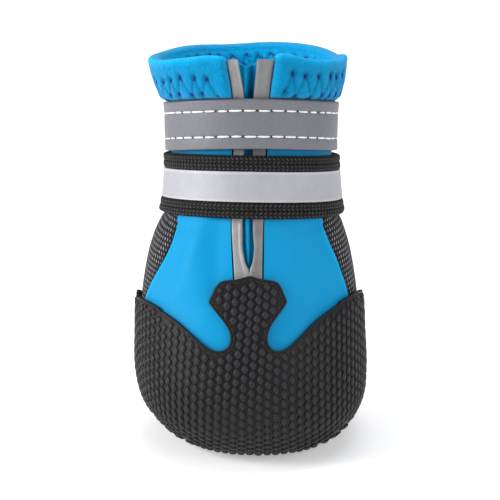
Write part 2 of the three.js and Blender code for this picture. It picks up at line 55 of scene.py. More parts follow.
# Driving sizes of the last, as in the part's source
FOOT_LENGTH = 71.2
BALL_WIDTH = 67.2
INSTEP_HEIGHT = 53.7
ANKLE_WIDTH = 49.8
ANKLE_DEPTH = 44.2
ANKLE_SET_BACK = 8.5
SHAFT_RISE = 64.3
SOLE_THICKNESS = 3.0
CLEARANCE = 0.3
UPPER_WALL = 1.8
RUBBER_WALL = 1.6
MESH_RECESS = 0.45
BAND_SEAT = 0.45
GUSSET_WIDTH = 22.0
SLIT_WIDTH = 11.0
LAST_BOTTOM = SOLE_THICKNESS + CLEARANCE
INSTEP_LEVEL = LAST_BOTTOM + INSTEP_HEIGHT
SLIT_BOTTOM = INSTEP_LEVEL - 0.015 * SHAFT_RISE

# Rows of the foot: height as a share of the instep height; half width and sway as shares of the ball
# width; front, back and widest place as shares of the foot length; squareness of the outline
FOOT = (
    # height, width, front, back, sway, widest, square
    (0.000, 0.262, 0.275, 0.330, 0.034, 0.000, 2.20),
    (0.017, 0.330, 0.348, 0.384, 0.034, 0.000, 2.20),
    (0.078, 0.412, 0.440, 0.440, 0.026, 0.000, 2.20),
    (0.190, 0.480, 0.511, 0.471, 0.014, 0.000, 2.25),
    (0.348, 0.503, 0.514, 0.483, 0.004, 0.000, 2.25),
    (0.553, 0.500, 0.467, 0.481, 0.000, 0.007, 2.20),
    (0.777, 0.492, 0.402, 0.469, -0.002, 0.028, 2.10),
    (1.000, 0.463, 0.334, 0.453, -0.002, 0.056, 2.00),
)

# Rows of the shaft: height as a share of the rise above the instep; half width and sway as shares of
# the ankle width; front, back and widest place from the ankle's middle as shares of the ankle depth
SHAFT = (
    # height, width, front, back, sway, widest, square
    (0.100, 0.585, 0.672, 0.520, 0.000, -0.074, 2.00),
    (0.143, 0.558, 0.654, 0.514, 0.003, -0.066, 2.00),
    (0.187, 0.522, 0.636, 0.509, 0.006, -0.057, 2.00),
    (0.358, 0.494, 0.559, 0.495, 0.009, -0.023, 2.00),
    (0.544, 0.490, 0.500, 0.500, 0.004, 0.000, 2.00),
    (0.731, 0.502, 0.468, 0.527, 0.003, 0.023, 2.00),
    (0.871, 0.550, 0.466, 0.568, -0.012, 0.045, 1.95),
    (0.995, 0.588, 0.472, 0.600, -0.024, 0.061, 1.90),
    (1.089, 0.602, 0.473, 0.613, -0.026, 0.070, 1.88),
)

# Level lines round the shaft at front, side and back, as shares of the rise above the instep, and how
# far the right side is lower
RIM = (1.000, 0.930, 0.925, 0.0)
UPPER_STRAP_LINE = (0.680, 0.593, 0.535, 0.0)
LOWER_STRAP_LINE = (0.390, 0.320, 0.256, 0.007)

# The slit's edges as shares of half its width
SLIT = (
    # height, outer left, inner left, outer right, inner right
    (-0.015, 0.84, 0.10, 0.66, 0.06),
    (0.070, 0.90, 0.26, 0.67, 0.12),
    (0.200, 0.96, 0.40, 0.68, 0.15),
    (0.358, 0.93, 0.38, 0.76, 0.16),
    (0.800, 0.91, 0.33, 1.01, 0.20),
    (0.964, 1.22, 0.64, 1.27, 0.38),
    (1.080, 1.36, 0.74, 1.39, 0.46),
)
OUTER_LEFT, INNER_LEFT, OUTER_RIGHT, INNER_RIGHT = range(4)

# The seam between the front panel and the mesh, in degrees from the toe
SEAM = (
    (0.760, 72.6, 64.6),
    (0.800, 70.8, 64.4),
    (0.870, 66.8, 63.4),
    (0.940, 61.9, 61.3),
    (1.010, 57.6, 59.2),
    (1.070, 55.0, 56.9),
    (1.130, 54.0, 55.0),
    (1.190, 55.6, 54.7),
    (1.250, 58.3, 56.0),
    (1.450, 58.3, 56.0),
)

# Half of the toe cap's upper edge on its leaning plane: across as a share of the cap's half width,
# up as a share of the peak's height
CAP_HALF_WIDTH = 34.6
CAP_SKEW = 0.055
CAP_TILT = math.radians(19)
TAB_OVERLAP = 0.85
TAB_EDGE = ((0.000, 1.000), (0.105, 0.976), (0.205, 0.970), (0.252, 0.957), (0.284, 0.925),
        (0.312, 0.878), (0.340, 0.831))
SCOOP_EDGE = (
    (0.340, 0.831),
    (0.297, 0.784),
    (0.236, 0.725),
    (0.184, 0.667),
    (0.160, 0.613),
    (0.166, 0.564),
    (0.200, 0.529),
    (0.257, 0.514),
    (0.319, 0.527),
    (0.374, 0.551),
    (0.463, 0.610),
    (0.528, 0.656),
    (0.597, 0.703),
    (0.678, 0.749),
    (0.758, 0.789),
    (0.857, 0.836),
    (0.940, 0.873),
    (1.020, 0.909),
    (1.160, 0.920),
)
HEEL_RUBBER_HEIGHT = 24.0
SIDE_START = -0.02 * FOOT_LENGTH
SIDE_EDGE = ((0.000, 1.00), (0.060, 0.93), (0.110, 0.84), (0.190, 0.56), (0.290, 0.24), (0.400, 0.05),
        (0.560, 0.00))

# Straps
LOWER_STRAP_WIDTH = 20.0
LOWER_STRAP_THICKNESS = 1.6
UPPER_STRAP_WIDTH = 16.3
UPPER_STRAP_THICKNESS = 1.4
TAPE_WIDTH = 10.0
TAPE_THICKNESS = 0.5
TAPE_SINK = 0.3
STRAP_OVERLAP = 24.0
BAND_HEIGHT_SHARE = 0.92
STRAP_LAP = STRAP_OVERLAP / (ANKLE_DEPTH / 2)


# The last

def last_sections():
    """Rows of height, half width, front, back, sway, widest place and squareness in mm."""
    rows = []
    for height, width, front, back, sway, widest, square in FOOT:
        z = LAST_BOTTOM + height * INSTEP_HEIGHT
        rows.append((z, width * BALL_WIDTH, -front * FOOT_LENGTH, back * FOOT_LENGTH,
                sway * BALL_WIDTH, widest * FOOT_LENGTH, square))
    for height, width, front, back, sway, widest, square in SHAFT:
        z = INSTEP_LEVEL + height * SHAFT_RISE
        rows.append((z, width * ANKLE_WIDTH, ANKLE_SET_BACK - front * ANKLE_DEPTH,
                ANKLE_SET_BACK + back * ANKLE_DEPTH, sway * ANKLE_WIDTH,
                ANKLE_SET_BACK + widest * ANKLE_DEPTH, square))
    return np.array(rows)


def read_rows(rows, at):
    """A smooth curve through the columns of a table whose first column rises."""
    rows = np.asarray(rows, float)
    last = len(rows) - 1
    at = np.clip(np.asarray(at, float), rows[0, 0], rows[last, 0])
    low = np.clip(np.searchsorted(rows[:, 0], at, side="right") - 1, 0, last - 1)
    before = np.maximum(low - 1, 0)
    after = np.minimum(low + 2, last)
    step = rows[low + 1, 0] - rows[low, 0]
    part = ((at - rows[low, 0]) / step)[..., None]
    leave = (rows[low + 1] - rows[before]) / (rows[low + 1, 0] - rows[before, 0])[..., None]
    arrive = (rows[after] - rows[low]) / (rows[after, 0] - rows[low, 0])[..., None]
    step = step[..., None]
    square, cube = part**2, part**3
    value = ((2 * cube - 3 * square + 1) * rows[low] + (cube - 2 * square + part) * leave * step
            + (3 * square - 2 * cube) * rows[low + 1] + (cube - square) * arrive * step)
    return value[..., 1:]


SECTIONS = last_sections()


def last_point(angle, z):
    """Points of the last: angle 0 at the toe, growing towards the right side."""
    angle, z = np.broadcast_arrays(np.asarray(angle, float), np.asarray(z, float))
    half_width, front, back, sway, widest, square = np.moveaxis(read_rows(SECTIONS, z), -1, 0)
    sine, cosine = np.sin(angle), np.cos(angle)
    power = 2 / square
    reach = np.where(cosine > 0, widest - front, back - widest)
    x = sway + half_width * np.sign(sine) * np.abs(sine) ** power
    y = widest - reach * np.sign(cosine) * np.abs(cosine) ** power
    return np.stack([x, y, z], -1)


def last_normal(angle, z):
    turn, rise = 0.01, 0.05
    along = last_point(angle + turn, z) - last_point(angle - turn, z)
    up = last_point(angle, z + rise) - last_point(angle, np.maximum(z - rise, LAST_BOTTOM))
    normal = np.cross(along, up)
    return normal / np.linalg.norm(normal, axis=-1, keepdims=True)


def off_last(angle, z, distance):
    """Points off the last by a distance along its normal."""
    angle, z, distance = np.broadcast_arrays(
        np.asarray(angle, float), np.asarray(z, float), np.asarray(distance, float))
    return last_point(angle, z) + distance[..., None] * last_normal(angle, z)


def angle_across(x, z):
    """The angle at which the front of the last has a place across."""
    x, z = np.broadcast_arrays(np.asarray(x, float), np.asarray(z, float))
    row = read_rows(SECTIONS, z)
    share = (x - row[..., 3]) / row[..., 0]
    return np.arcsin(np.clip(np.sign(share) * np.abs(share) ** (row[..., 5] / 2), -1, 1))


def level_line(line, angle):
    """Height of a level line round the shaft from its front, side and back shares and its lean."""
    front, side, back, lean = line
    middle = (front + back) / 4
    share = (middle + side / 2 + (front - back) / 2 * np.cos(angle)
            + (middle - side / 2) * np.cos(2 * angle) - lean * np.sin(angle))
    return INSTEP_LEVEL + share * SHAFT_RISE


def slit_edge(column, z):
    rows = read_rows(SLIT, (np.asarray(z, float) - INSTEP_LEVEL) / SHAFT_RISE)
    return rows[..., column] * SLIT_WIDTH / 2


def smooth(value, low, high):
    """0 below low, 1 above high and a soft rise between."""
    part = np.clip((np.asarray(value, float) - low) / (high - low), 0, 1)
    return part * part * (3 - 2 * part)


def ripple(first, second, seed, scale):
    """A soft, repeatable unevenness between -1 and 1 from a few waves."""
    chance = np.random.default_rng(seed)
    total = np.zeros(np.broadcast(first, second).shape)
    for _ in range(6):
        turn, phase = chance.uniform(0, 2 * math.pi, 2)
        rate = chance.uniform(0.6, 1.8) / scale
        total = total + np.sin((first * math.cos(turn) + second * math.sin(turn)) * rate + phase)
    return total / 6


# Meshes

def point_outwards(mesh):
    """Turns a closed mesh's faces over where they point inwards."""
    shape = bmesh.new()
    shape.from_mesh(mesh)
    if shape.calc_volume(signed=True) < 0:
        bmesh.ops.reverse_faces(shape, faces=shape.faces)
        shape.to_mesh(mesh)
    shape.free()


def new_piece(name, vertices, faces, materials, zones=None, wrap=None, smooth_angle=40):
    """A mesh object from millimetre points, with material zones and a wrap map in mm."""
    mesh = bpy.data.meshes.new(name)
    mesh.from_pydata((np.asarray(vertices) * MM).tolist(), [], faces)
    point_outwards(mesh)
    for material in materials:
        mesh.materials.append(material)
    if zones is not None:
        mesh.polygons.foreach_set("material_index", np.asarray(zones, np.int32))
    if wrap is not None:
        layer = mesh.uv_layers.new(name="Wrap")
        loops = np.empty(len(mesh.loops), np.int32)
        mesh.loops.foreach_get("vertex_index", loops)
        layer.data.foreach_set("uv", np.asarray(wrap, np.float32)[loops].ravel())
    mesh.polygons.foreach_set("use_smooth", np.ones(len(mesh.polygons), bool))
    mesh.update()
    mesh.set_sharp_from_angle(angle=math.radians(smooth_angle))
    piece = bpy.data.objects.new(name, mesh)
    bpy.context.scene.collection.objects.link(piece)
    return piece


def sweep_piece(name, stations, materials, zone_of=None, wrap=None, joined=False, **options):
    """A closed tube through rings of points; open ends are closed by a fan round their middle."""
    count, around = stations.shape[:2]
    vertices = stations.reshape(-1, 3)
    last = count if joined else count - 1
    faces, zones = [], []
    for i in range(last):
        here, there = i * around, ((i + 1) % count) * around
        for j in range(around):
            k = (j + 1) % around
            faces.append((here + j, there + j, there + k, here + k))
            zones.append(zone_of(i, j) if zone_of else 0)
    flat = None if wrap is None else wrap.reshape(-1, 2)
    if not joined:
        ends = np.stack([stations[0].mean(0), stations[-1].mean(0)])
        start, end = len(vertices), len(vertices) + 1
        vertices = np.concatenate([vertices, ends])
        if flat is not None:
            flat = np.concatenate([flat, [wrap[0].mean(0), wrap[-1].mean(0)]])
        tail = (count - 1) * around
        for j in range(around):
            k = (j + 1) % around
            faces.append((start, j, k))
            faces.append((end, tail + k, tail + j))
            zones += [zone_of(0, j) if zone_of else 0, zone_of(last - 1, j) if zone_of else 0]
    return new_piece(name, vertices, faces, materials, zones, flat, **options)


def finish_piece(piece, slot, *nodes):
    """The piece rides on the boot's one body and takes the place of its CAD nodes."""
    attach(piece, "root")
    if nodes:
        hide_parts(*nodes)
    return piece


def as_plain_mesh(piece):
    """Turns the evaluated result of a piece's modifiers into its plain mesh."""
    graph = bpy.context.evaluated_depsgraph_get()
    mesh = bpy.data.meshes.new_from_object(piece.evaluated_get(graph))
    piece.modifiers.clear()
    piece.data = mesh
    return piece


# The rubber's face and its edge

def rubber_offset(z):
    blend = 1 - smooth(z, LAST_BOTTOM, LAST_BOTTOM + SOLE_THICKNESS * 3)
    return CLEARANCE + RUBBER_WALL + (SOLE_THICKNESS - RUBBER_WALL) * blend


def rubber_point(angle, z, lift=0.0):
    """Points of the rubber's outer face, lifted off it by a distance."""
    return off_last(angle, z, rubber_offset(z) + lift)


def height_on_plane(point):
    return point[..., 2] * math.cos(CAP_TILT) + point[..., 1] * math.sin(CAP_TILT)


def spline(points, count):
    """A smooth curve through points of a table."""
    points = np.asarray(points, float)
    last = len(points) - 1
    at = np.linspace(0, last, count + 1)
    low = np.minimum(at.astype(int), last)
    part = (at - low)[:, None]
    before = points[np.maximum(low - 1, 0)]
    first = points[low]
    second = points[np.minimum(low + 1, last)]
    after = points[np.minimum(low + 2, last)]
    leave, arrive = (second - before) / 2, (after - first) / 2
    curve = 2 * first - 2 * second + leave + arrive
    curve = curve * part + 3 * second - 3 * first - 2 * leave - arrive
    return (curve * part + leave) * part + first


def evenly(points, spacing):
    """The same line with its points at an even spacing."""
    along = np.concatenate([[0], np.cumsum(np.linalg.norm(np.diff(points, axis=0), axis=1))])
    at = np.linspace(0, along[-1], max(2, round(along[-1] / spacing) + 1))
    return np.stack([np.interp(at, along, column) for column in points.T], 1)


def softened(points, reach, spacing):
    """The same line with its corners rounded over a reach."""
    half = math.ceil(3 * reach / spacing)
    weight = np.exp(-0.5 * (np.arange(-half, half + 1) * spacing / reach) ** 2)
    weight /= weight.sum()
    longer = np.pad(points, ((half, half), (0, 0)), mode="reflect", reflect_type="odd")
    return np.stack([np.convolve(column, weight, mode="valid") for column in longer.T], 1)


def cap_outline():
    """The cap's upper edge on its leaning plane, from the left side over the tab to the right."""
    peak = height_on_plane(rubber_point(0, SLIT_BOTTOM + TAB_OVERLAP))
    half = np.concatenate([TAB_EDGE, spline(SCOOP_EDGE, 300)[1:]]) * (CAP_HALF_WIDTH, peak)
    whole = np.concatenate([half[:0:-1] * (-1 - CAP_SKEW, 1), half * (1 - CAP_SKEW, 1)])
    return softened(evenly(whole, 0.25), 0.4, 0.25)


def side_outline():
    """The rubber's edge along the side, as places along the boot and heights."""
    tip_on_plane = cap_outline()[-1, 1]
    tip = (tip_on_plane - SIDE_START * math.sin(CAP_TILT)) / math.cos(CAP_TILT)
    along, up = np.transpose(SIDE_EDGE)
    heights = HEEL_RUBBER_HEIGHT + up * (tip - HEEL_RUBBER_HEIGHT)
    return spline(np.stack([along * FOOT_LENGTH, heights], 1), 120)


def on_rubber(across, height):
    """Angle and height on the rubber's face of places on the leaning plane."""
    z = (height + 30 * math.sin(CAP_TILT)) / math.cos(CAP_TILT)
    angle = angle_across(across * 0.92, z)
    for _ in range(14):
        here = rubber_point(angle, z)
        turn = (rubber_point(angle + 1e-3, z) - here) / 1e-3
        rise = (rubber_point(angle, z + 1e-2) - here) / 1e-2
        miss_x = across - here[..., 0]
        miss_h = height - height_on_plane(here)
        turn_h, rise_h = height_on_plane(turn), height_on_plane(rise)
        scale = turn[..., 0] * rise_h - rise[..., 0] * turn_h
        angle = angle + np.clip((miss_x * rise_h - rise[..., 0] * miss_h) / scale, -0.2, 0.2)
        z = z + np.clip((turn[..., 0] * miss_h - turn_h * miss_x) / scale, -5, 5)
    return angle, z


def edge_height(point):
    """Height of the rubber's edge beside a point of its face away from the tab."""
    cap, side = cap_outline(), side_outline()
    left, right = cap[cap[:, 0] < -CAP_HALF_WIDTH / 2], cap[cap[:, 0] > CAP_HALF_WIDTH / 2]
    across = point[..., 0]
    on_plane = np.where(across < 0, np.interp(across, *left.T), np.interp(across, *right.T))
    front = (on_plane - point[..., 1] * math.sin(CAP_TILT)) / math.cos(CAP_TILT)
    back = np.interp(point[..., 1], side[:, 0], side[:, 1])
    return np.where(point[..., 1] < SIDE_START, front, back)


def rubber_edge(spacing=0.5):
    """Angles and heights round the rubber's top edge, evenly spaced, from the heel round to it."""
    cap = cap_outline()
    angle, z = on_rubber(*cap[np.abs(cap[:, 0]) < CAP_HALF_WIDTH * 0.8].T)
    runs = []
    for sign, start in ((-1, angle[0]), (1, angle[-1])):
        around = sign * np.linspace(abs(start), math.pi, 240)[1:]
        height = np.full_like(around, 45.0)
        for _ in range(40):
            height = (height + edge_height(rubber_point(around, height))) / 2
        runs.append(np.stack([around, height], 1))
    line = np.concatenate([runs[0][::-1], np.stack([angle, z], 1), runs[1]])
    places = np.concatenate([rubber_point(line[:, 0], line[:, 1]), line], 1)
    steps = np.linalg.norm(np.diff(places[:, :3], axis=0), axis=1)
    along = np.concatenate([[0], np.cumsum(steps)])
    at = np.linspace(0, along[-1], round(along[-1] / spacing) + 1)
    even = np.stack([np.interp(at, along, column) for column in line.T], 1)
    return softened(even, 0.5, spacing)[:-1]


def inward_frames(edge):
    """Points of the edge with their directions along it, out of the rubber and down into it."""
    points = rubber_point(edge[:, 0], edge[:, 1])
    along = np.roll(points, -1, 0) - np.roll(points, 1, 0)
    along /= np.linalg.norm(along, axis=1, keepdims=True)
    out = last_normal(edge[:, 0], edge[:, 1])
    inward = np.cross(along, out)
    inward /= np.linalg.norm(inward, axis=1, keepdims=True)
    inward *= -np.sign(inward[:1, 2:])
    return points, along, out, inward


def distance_to(points, line):
    """Each point's distance to the nearest point of a line."""
    return np.array([np.sqrt(((line - point) ** 2).sum(1).min()) for point in points])


def inside_rubber(points):
    """Which points of the rubber's face lie below its edge."""
    cap = cap_outline()
    x, height = points[:, 0], height_on_plane(points)
    left, right = cap[:-1], cap[1:]
    crossed = np.zeros(len(points), int)
    for (x0, h0), (x1, h1) in zip(left, right):
        between = (x >= min(x0, x1)) & (x < max(x0, x1))
        line = h0 + (h1 - h0) * (x - x0) / (x1 - x0 if x1 != x0 else 1)
        crossed += between & (height < line)
    in_cap = (crossed % 2 == 1)
    behind = points[:, 1] >= SIDE_START
    return np.where(behind, points[:, 2] < edge_height(points), in_cap)


# Settings of the boot that a user may change

def srgb(red, green, blue):
    """A colour from its 0 to 255 screen values, as linear light."""
    def linear(value):
        value /= 255
        return value / 12.92 if value <= 0.04045 else ((value + 0.055) / 1.055) ** 2.4
    return (linear(red), linear(green), linear(blue), 1.0)


def size(name, description, millimetres):
    return bpy.props.FloatProperty(
        name=name, description=description, default=millimetres * MM, min=0, unit="LENGTH", precision=5)


def colour(name, description, red, green, blue):
    return bpy.props.FloatVectorProperty(
        name=name, description=description, default=srgb(red, green, blue), min=0, max=1, size=4,
        subtype="COLOR")


class DogBootSizes(bpy.types.PropertyGroup):
    pad_across: size("Pad pitch across", "Distance between two columns of tread pads", 2.42)
    pad_up: size("Pad pitch up", "Distance between two pads of a column", 2.75)
    pad_height: size("Pad height", "How far a tread pad stands out of the rubber", 0.55)
    bead_width: size("Edge bead width", "Width of the plain border along the rubber's edge", 0.7)
    crease_depth: size("Crease depth", "Depth of the soft folds of the shell", 0.5)
    rubber_stitch: size("Rubber stitch pitch", "Distance between two stitches along the rubber's edge", 2.1)
    strap_stitch: size("Strap stitch pitch", "Distance between two stitches of the grey strap", 4.0)
    strap_stitch_length: size("Strap stitch length", "Length of a stitch of the grey strap", 2.6)
    strap_thread: size("Strap thread radius", "Half the thickness of the white thread", 0.3)
    zigzag_pitch: size("Zigzag pitch", "Distance between two upper points of the zigzag", 5.0)
    zigzag_thread: size("Zigzag thread radius", "Half the thickness of the cuff's thread", 0.17)
    pucker_depth: size("Pucker depth", "How far the cuff is pulled in at each point of the zigzag", 0.8)


class DogBootColours(bpy.types.PropertyGroup):
    soft_shell: colour("Soft shell", "Colour of the shell, cuff and tongue", 0, 146, 200)
    lining: colour("Lining", "Colour of the shell's inside", 6, 84, 140)
    mesh_ground: colour("Mesh ground", "Colour of the mesh between its knots", 15, 15, 17)
    mesh_knot: colour("Mesh knots", "Colour of the mesh's light knots", 140, 140, 143)
    # Rubber: a painted highlight colour for its raised places and a painted shade colour for its hollows
    rubber: colour("Rubber", "Colour of the rubber's raised places", 35, 34, 37)
    rubber_hollow_shade: colour("Rubber grooves", "Colour of the rubber's hollows", 11, 10, 12)
    piping: colour("Piping", "Colour of the reflective tape round the slit", 152, 150, 149)
    webbing: colour("Webbing", "Colour of the lower strap", 42, 41, 42)
    silver: colour("Silver tape", "Colour of the lower strap's tape", 170, 170, 174)
    grey_strap: colour("Grey strap", "Colour of the upper strap", 113, 113, 119)
    white_thread: colour("White thread", "Thread of the grey strap", 238, 238, 236)
    blue_thread: colour("Blue thread", "Thread of the cuff where it is pulled in", 22, 40, 140)
    dark_thread: colour("Dark thread", "Thread of the rubber's edge and the black strap", 52, 43, 40)
    insole: colour("Insole", "Cloth of the insole", 40, 40, 44)
    floor: colour("Floor", "Colour of the floor", 247, 247, 247)


def sizes():
    return bpy.context.scene.dog_boot_sizes


def colours():
    return bpy.context.scene.dog_boot_colours


# Nodes

def feed(tree, socket, value):
    """Links a socket to another, or sets its value."""
    if isinstance(value, bpy.types.NodeSocket):
        tree.links.new(value, socket)
    else:
        socket.default_value = value


def put(tree, kind, inputs=None, **settings):
    """Adds a node with its settings and its inputs by name or number."""
    node = tree.nodes.new(kind)
    for name, value in settings.items():
        setattr(node, name, value)
    for key, value in (inputs or {}).items():
        feed(tree, node.inputs[key], value)
    return node


def calc(tree, operation, *values, clamp=False):
    kind = "ShaderNodeMath"
    node = put(tree, kind, dict(enumerate(values)), operation=operation, use_clamp=clamp)
    return node.outputs[0]


def mix_colour(tree, factor, first, second, blend="MIX"):
    node = put(tree, "ShaderNodeMix", {0: factor, 6: first, 7: second}, data_type="RGBA", blend_type=blend)
    return node.outputs[2]


def smooth_step(tree, value, low, high):
    node = put(tree, "ShaderNodeMapRange", {0: value, 1: low, 2: high}, interpolation_type="SMOOTHSTEP")
    return node.outputs[0]


def new_group(kind, name, inputs, outputs):
    """A node group with named inputs and outputs, and its entry and exit nodes."""
    tree = bpy.data.node_groups.new(name, kind)
    for label, socket_type, value in inputs:
        socket = tree.interface.new_socket(label, in_out="INPUT", socket_type=socket_type)
        if value is not None:
            socket.default_value = value
    for label, socket_type in outputs:
        tree.interface.new_socket(label, in_out="OUTPUT", socket_type=socket_type)
    return tree, tree.nodes.new("NodeGroupInput"), tree.nodes.new("NodeGroupOutput")


def use_group(tree, group, **inputs):
    node = tree.nodes.new("ShaderNodeGroup")
    node.node_tree = group
    for name, value in inputs.items():
        feed(tree, node.inputs[name.replace("_", " ")], value)
    return node


def weave_group():
    """Threads passing over and under each other."""
    name = "Boot Weave"
    if name in bpy.data.node_groups:
        return bpy.data.node_groups[name]
    tree, entry, leave = new_group("ShaderNodeTree", name, (
        ("Wrap", "NodeSocketVector", None),
        ("Across", "NodeSocketFloat", 0.5),
        ("Up", "NodeSocketFloat", 0.5),
        ("Slant", "NodeSocketFloat", 0.0),
    ), (("Height", "NodeSocketFloat"),))
    parts = put(tree, "ShaderNodeSeparateXYZ", {0: entry.outputs["Wrap"]})
    leaning = calc(tree, "MULTIPLY_ADD", parts.outputs[1], entry.outputs["Slant"], parts.outputs[0])
    across = calc(tree, "DIVIDE", leaning, entry.outputs["Across"])
    up = calc(tree, "DIVIDE", parts.outputs[1], entry.outputs["Up"])
    wave_across = calc(tree, "SINE", calc(tree, "MULTIPLY", across, math.pi))
    wave_up = calc(tree, "SINE", calc(tree, "MULTIPLY", up, math.pi))
    over = calc(tree, "MULTIPLY", wave_up, calc(tree, "SIGN", wave_across))
    under = calc(tree, "MULTIPLY", wave_across, calc(tree, "SIGN", wave_up))
    warp = calc(tree, "MULTIPLY", calc(tree, "ABSOLUTE", wave_across),
            calc(tree, "MULTIPLY_ADD", over, 0.5, 0.5))
    weft = calc(tree, "MULTIPLY", calc(tree, "ABSOLUTE", wave_up),
            calc(tree, "MULTIPLY_ADD", under, -0.5, 0.5))
    feed(tree, leave.inputs[0], calc(tree, "MAXIMUM", warp, weft))
    return tree


def unevenness_group():
    """Soft patches of shade with a finer grain."""
    name = "Boot Unevenness"
    if name in bpy.data.node_groups:
        return bpy.data.node_groups[name]
    tree, entry, leave = new_group("ShaderNodeTree", name, (
        ("Place", "NodeSocketVector", None),
        ("Amount", "NodeSocketFloat", 0.1),
        ("Patch", "NodeSocketFloat", 12.0),
        ("Grain", "NodeSocketFloat", 0.4),
    ), (("Shade", "NodeSocketFloat"), ("Grain", "NodeSocketFloat")))
    scale = calc(tree, "DIVIDE", 1 / MM, entry.outputs["Patch"])
    fine = calc(tree, "DIVIDE", 1 / MM, entry.outputs["Grain"])
    patches = put(tree, "ShaderNodeTexNoise", {"Vector": entry.outputs["Place"], "Scale": scale,
            "Detail": 3.0, "Roughness": 0.55})
    grains = put(tree, "ShaderNodeTexNoise", {"Vector": entry.outputs["Place"], "Scale": fine,
            "Detail": 2.0, "Roughness": 0.6})
    patch = calc(tree, "SUBTRACT", patches.outputs[0], 0.5)
    grain = calc(tree, "SUBTRACT", grains.outputs[0], 0.5)
    both = calc(tree, "MULTIPLY_ADD", grain, 0.6, patch)
    shade = calc(tree, "MULTIPLY_ADD", both, calc(tree, "MULTIPLY", entry.outputs["Amount"], 2.0), 1.0)
    feed(tree, leave.inputs["Shade"], shade)
    feed(tree, leave.inputs["Grain"], grains.outputs[0])
    return tree


# Finishes

def new_finish(name, roughness=0.8, metallic=0.0, sheen=0.0, specular=0.5):
    material = bpy.data.materials.new(name)
    material.use_nodes = True
    tree = material.node_tree
    tree.nodes.clear()
    shader = put(tree, "ShaderNodeBsdfPrincipled", {
        "Roughness": roughness, "Metallic": metallic, "Sheen Weight": sheen, "Sheen Roughness": 0.4,
        "Specular IOR Level": specular})
    leave = put(tree, "ShaderNodeOutputMaterial")
    tree.links.new(shader.outputs[0], leave.inputs[0])
    return material, tree, shader


def dye(tree, shader, base, shade, extra=None):
    """Base colour times its shades, darker where the points carry painted shade and lighter where they carry
    a painted highlight.
    """
    if extra is not None:
        shade = calc(tree, "MULTIPLY", shade, extra)
    # The points' "dark" value is painted shade, and below nought a painted highlight
    dark = put(tree, "ShaderNodeAttribute", attribute_name="dark").outputs["Fac"]
    shade = calc(tree, "MULTIPLY", shade, calc(tree, "MULTIPLY_ADD", dark, -0.6, 1.0))
    grey = put(tree, "ShaderNodeCombineColor", {0: shade, 1: shade, 2: shade})
    feed(tree, shader.inputs["Base Color"], mix_colour(tree, 1.0, base, grey.outputs[0], "MULTIPLY"))


def raise_bump(tree, shader, height, depth, strength=1.0):
    bump = put(tree, "ShaderNodeBump", {"Height": height, "Distance": depth * MM, "Strength": strength})
    feed(tree, shader.inputs["Normal"], bump.outputs[0])


def cloth(name, base, across, up, slant=0.0, depth=0.05, shadow=0.3, amount=0.06, patch=12.0, grain=0.5,
        fuzz=0.0, **look):
    """Cloth whose threads follow the wrap map, with a fuzz over them."""
    material, tree, shader = new_finish(name, **look)
    wrap = put(tree, "ShaderNodeUVMap", uv_map="Wrap").outputs[0]
    place = put(tree, "ShaderNodeTexCoord").outputs["Object"]
    weave = use_group(tree, weave_group(), Wrap=wrap, Across=across, Up=up, Slant=slant)
    uneven = use_group(tree, unevenness_group(), Place=place, Amount=amount, Patch=patch, Grain=grain)
    hollow = calc(tree, "MULTIPLY_ADD", weave.outputs[0], shadow, 1 - shadow * 0.6)
    dye(tree, shader, base, uneven.outputs["Shade"], hollow)
    height = calc(tree, "MULTIPLY_ADD", uneven.outputs["Grain"], fuzz, weave.outputs[0])
    raise_bump(tree, shader, height, depth)
    return material


def soft_shell_finish():
    base = colours().soft_shell
    return cloth("Soft shell", base, 0.34, 0.34, 0.5, depth=0.03, shadow=0.06, amount=0.03, roughness=0.55,
            specular=0.15)


def cuff_finish():
    return cloth("Cuff fleece", colours().soft_shell, 0.5, 0.42, 0.35, depth=0.08, shadow=0.06, amount=0.2,
            patch=2.2, grain=0.8, fuzz=6.0, roughness=0.85, specular=0.1, sheen=0.15)


def lining_finish():
    base = colours().lining
    return cloth("Lining", base, 0.6, 0.6, 0.0, depth=0.08, shadow=0.2, roughness=0.9, sheen=0.2)


def gusset_finish():
    base = colours().soft_shell
    return cloth("Stretch cloth", base, 0.5, 0.36, 0.0, depth=0.06, shadow=0.16, amount=0.06,
            roughness=0.8, sheen=0.03, specular=0.15)


def webbing_finish():
    """Herringbone webbing, whose threads lean both ways across each rib, with painted glints on its knots."""
    material, tree, shader = new_finish("Webbing", roughness=0.7, specular=0.2)
    wrap = put(tree, "ShaderNodeUVMap", uv_map="Wrap").outputs[0]
    place = put(tree, "ShaderNodeTexCoord").outputs["Object"]
    parts = put(tree, "ShaderNodeSeparateXYZ", {0: wrap})
    fold = calc(tree, "PINGPONG", parts.outputs[1], 1.15)
    leaning = calc(tree, "MULTIPLY_ADD", fold, 0.8, parts.outputs[0])
    thread = calc(tree, "SINE", calc(tree, "MULTIPLY", leaning, 2 * math.pi / 1.3))
    strand = calc(tree, "SINE", calc(tree, "MULTIPLY", fold, math.pi / 1.15))
    knot = calc(tree, "MULTIPLY", strand, calc(tree, "MULTIPLY_ADD", thread, 0.5, 0.5))
    uneven = use_group(tree, unevenness_group(), Place=place, Amount=0.6, Patch=3.0, Grain=0.7)
    # Bright specks on the knots' crowns are painted glints; the knots' milder lift is the weave's own pattern
    light = calc(tree, "MULTIPLY", smooth_step(tree, knot, 0.45, 0.95), uneven.outputs["Grain"])
    shade = calc(tree, "MULTIPLY_ADD", light, 4.6, calc(tree, "MULTIPLY_ADD", knot, 0.3, 0.17))
    dye(tree, shader, colours().webbing, uneven.outputs["Shade"], shade)
    raise_bump(tree, shader, knot, 0.25)
    return material


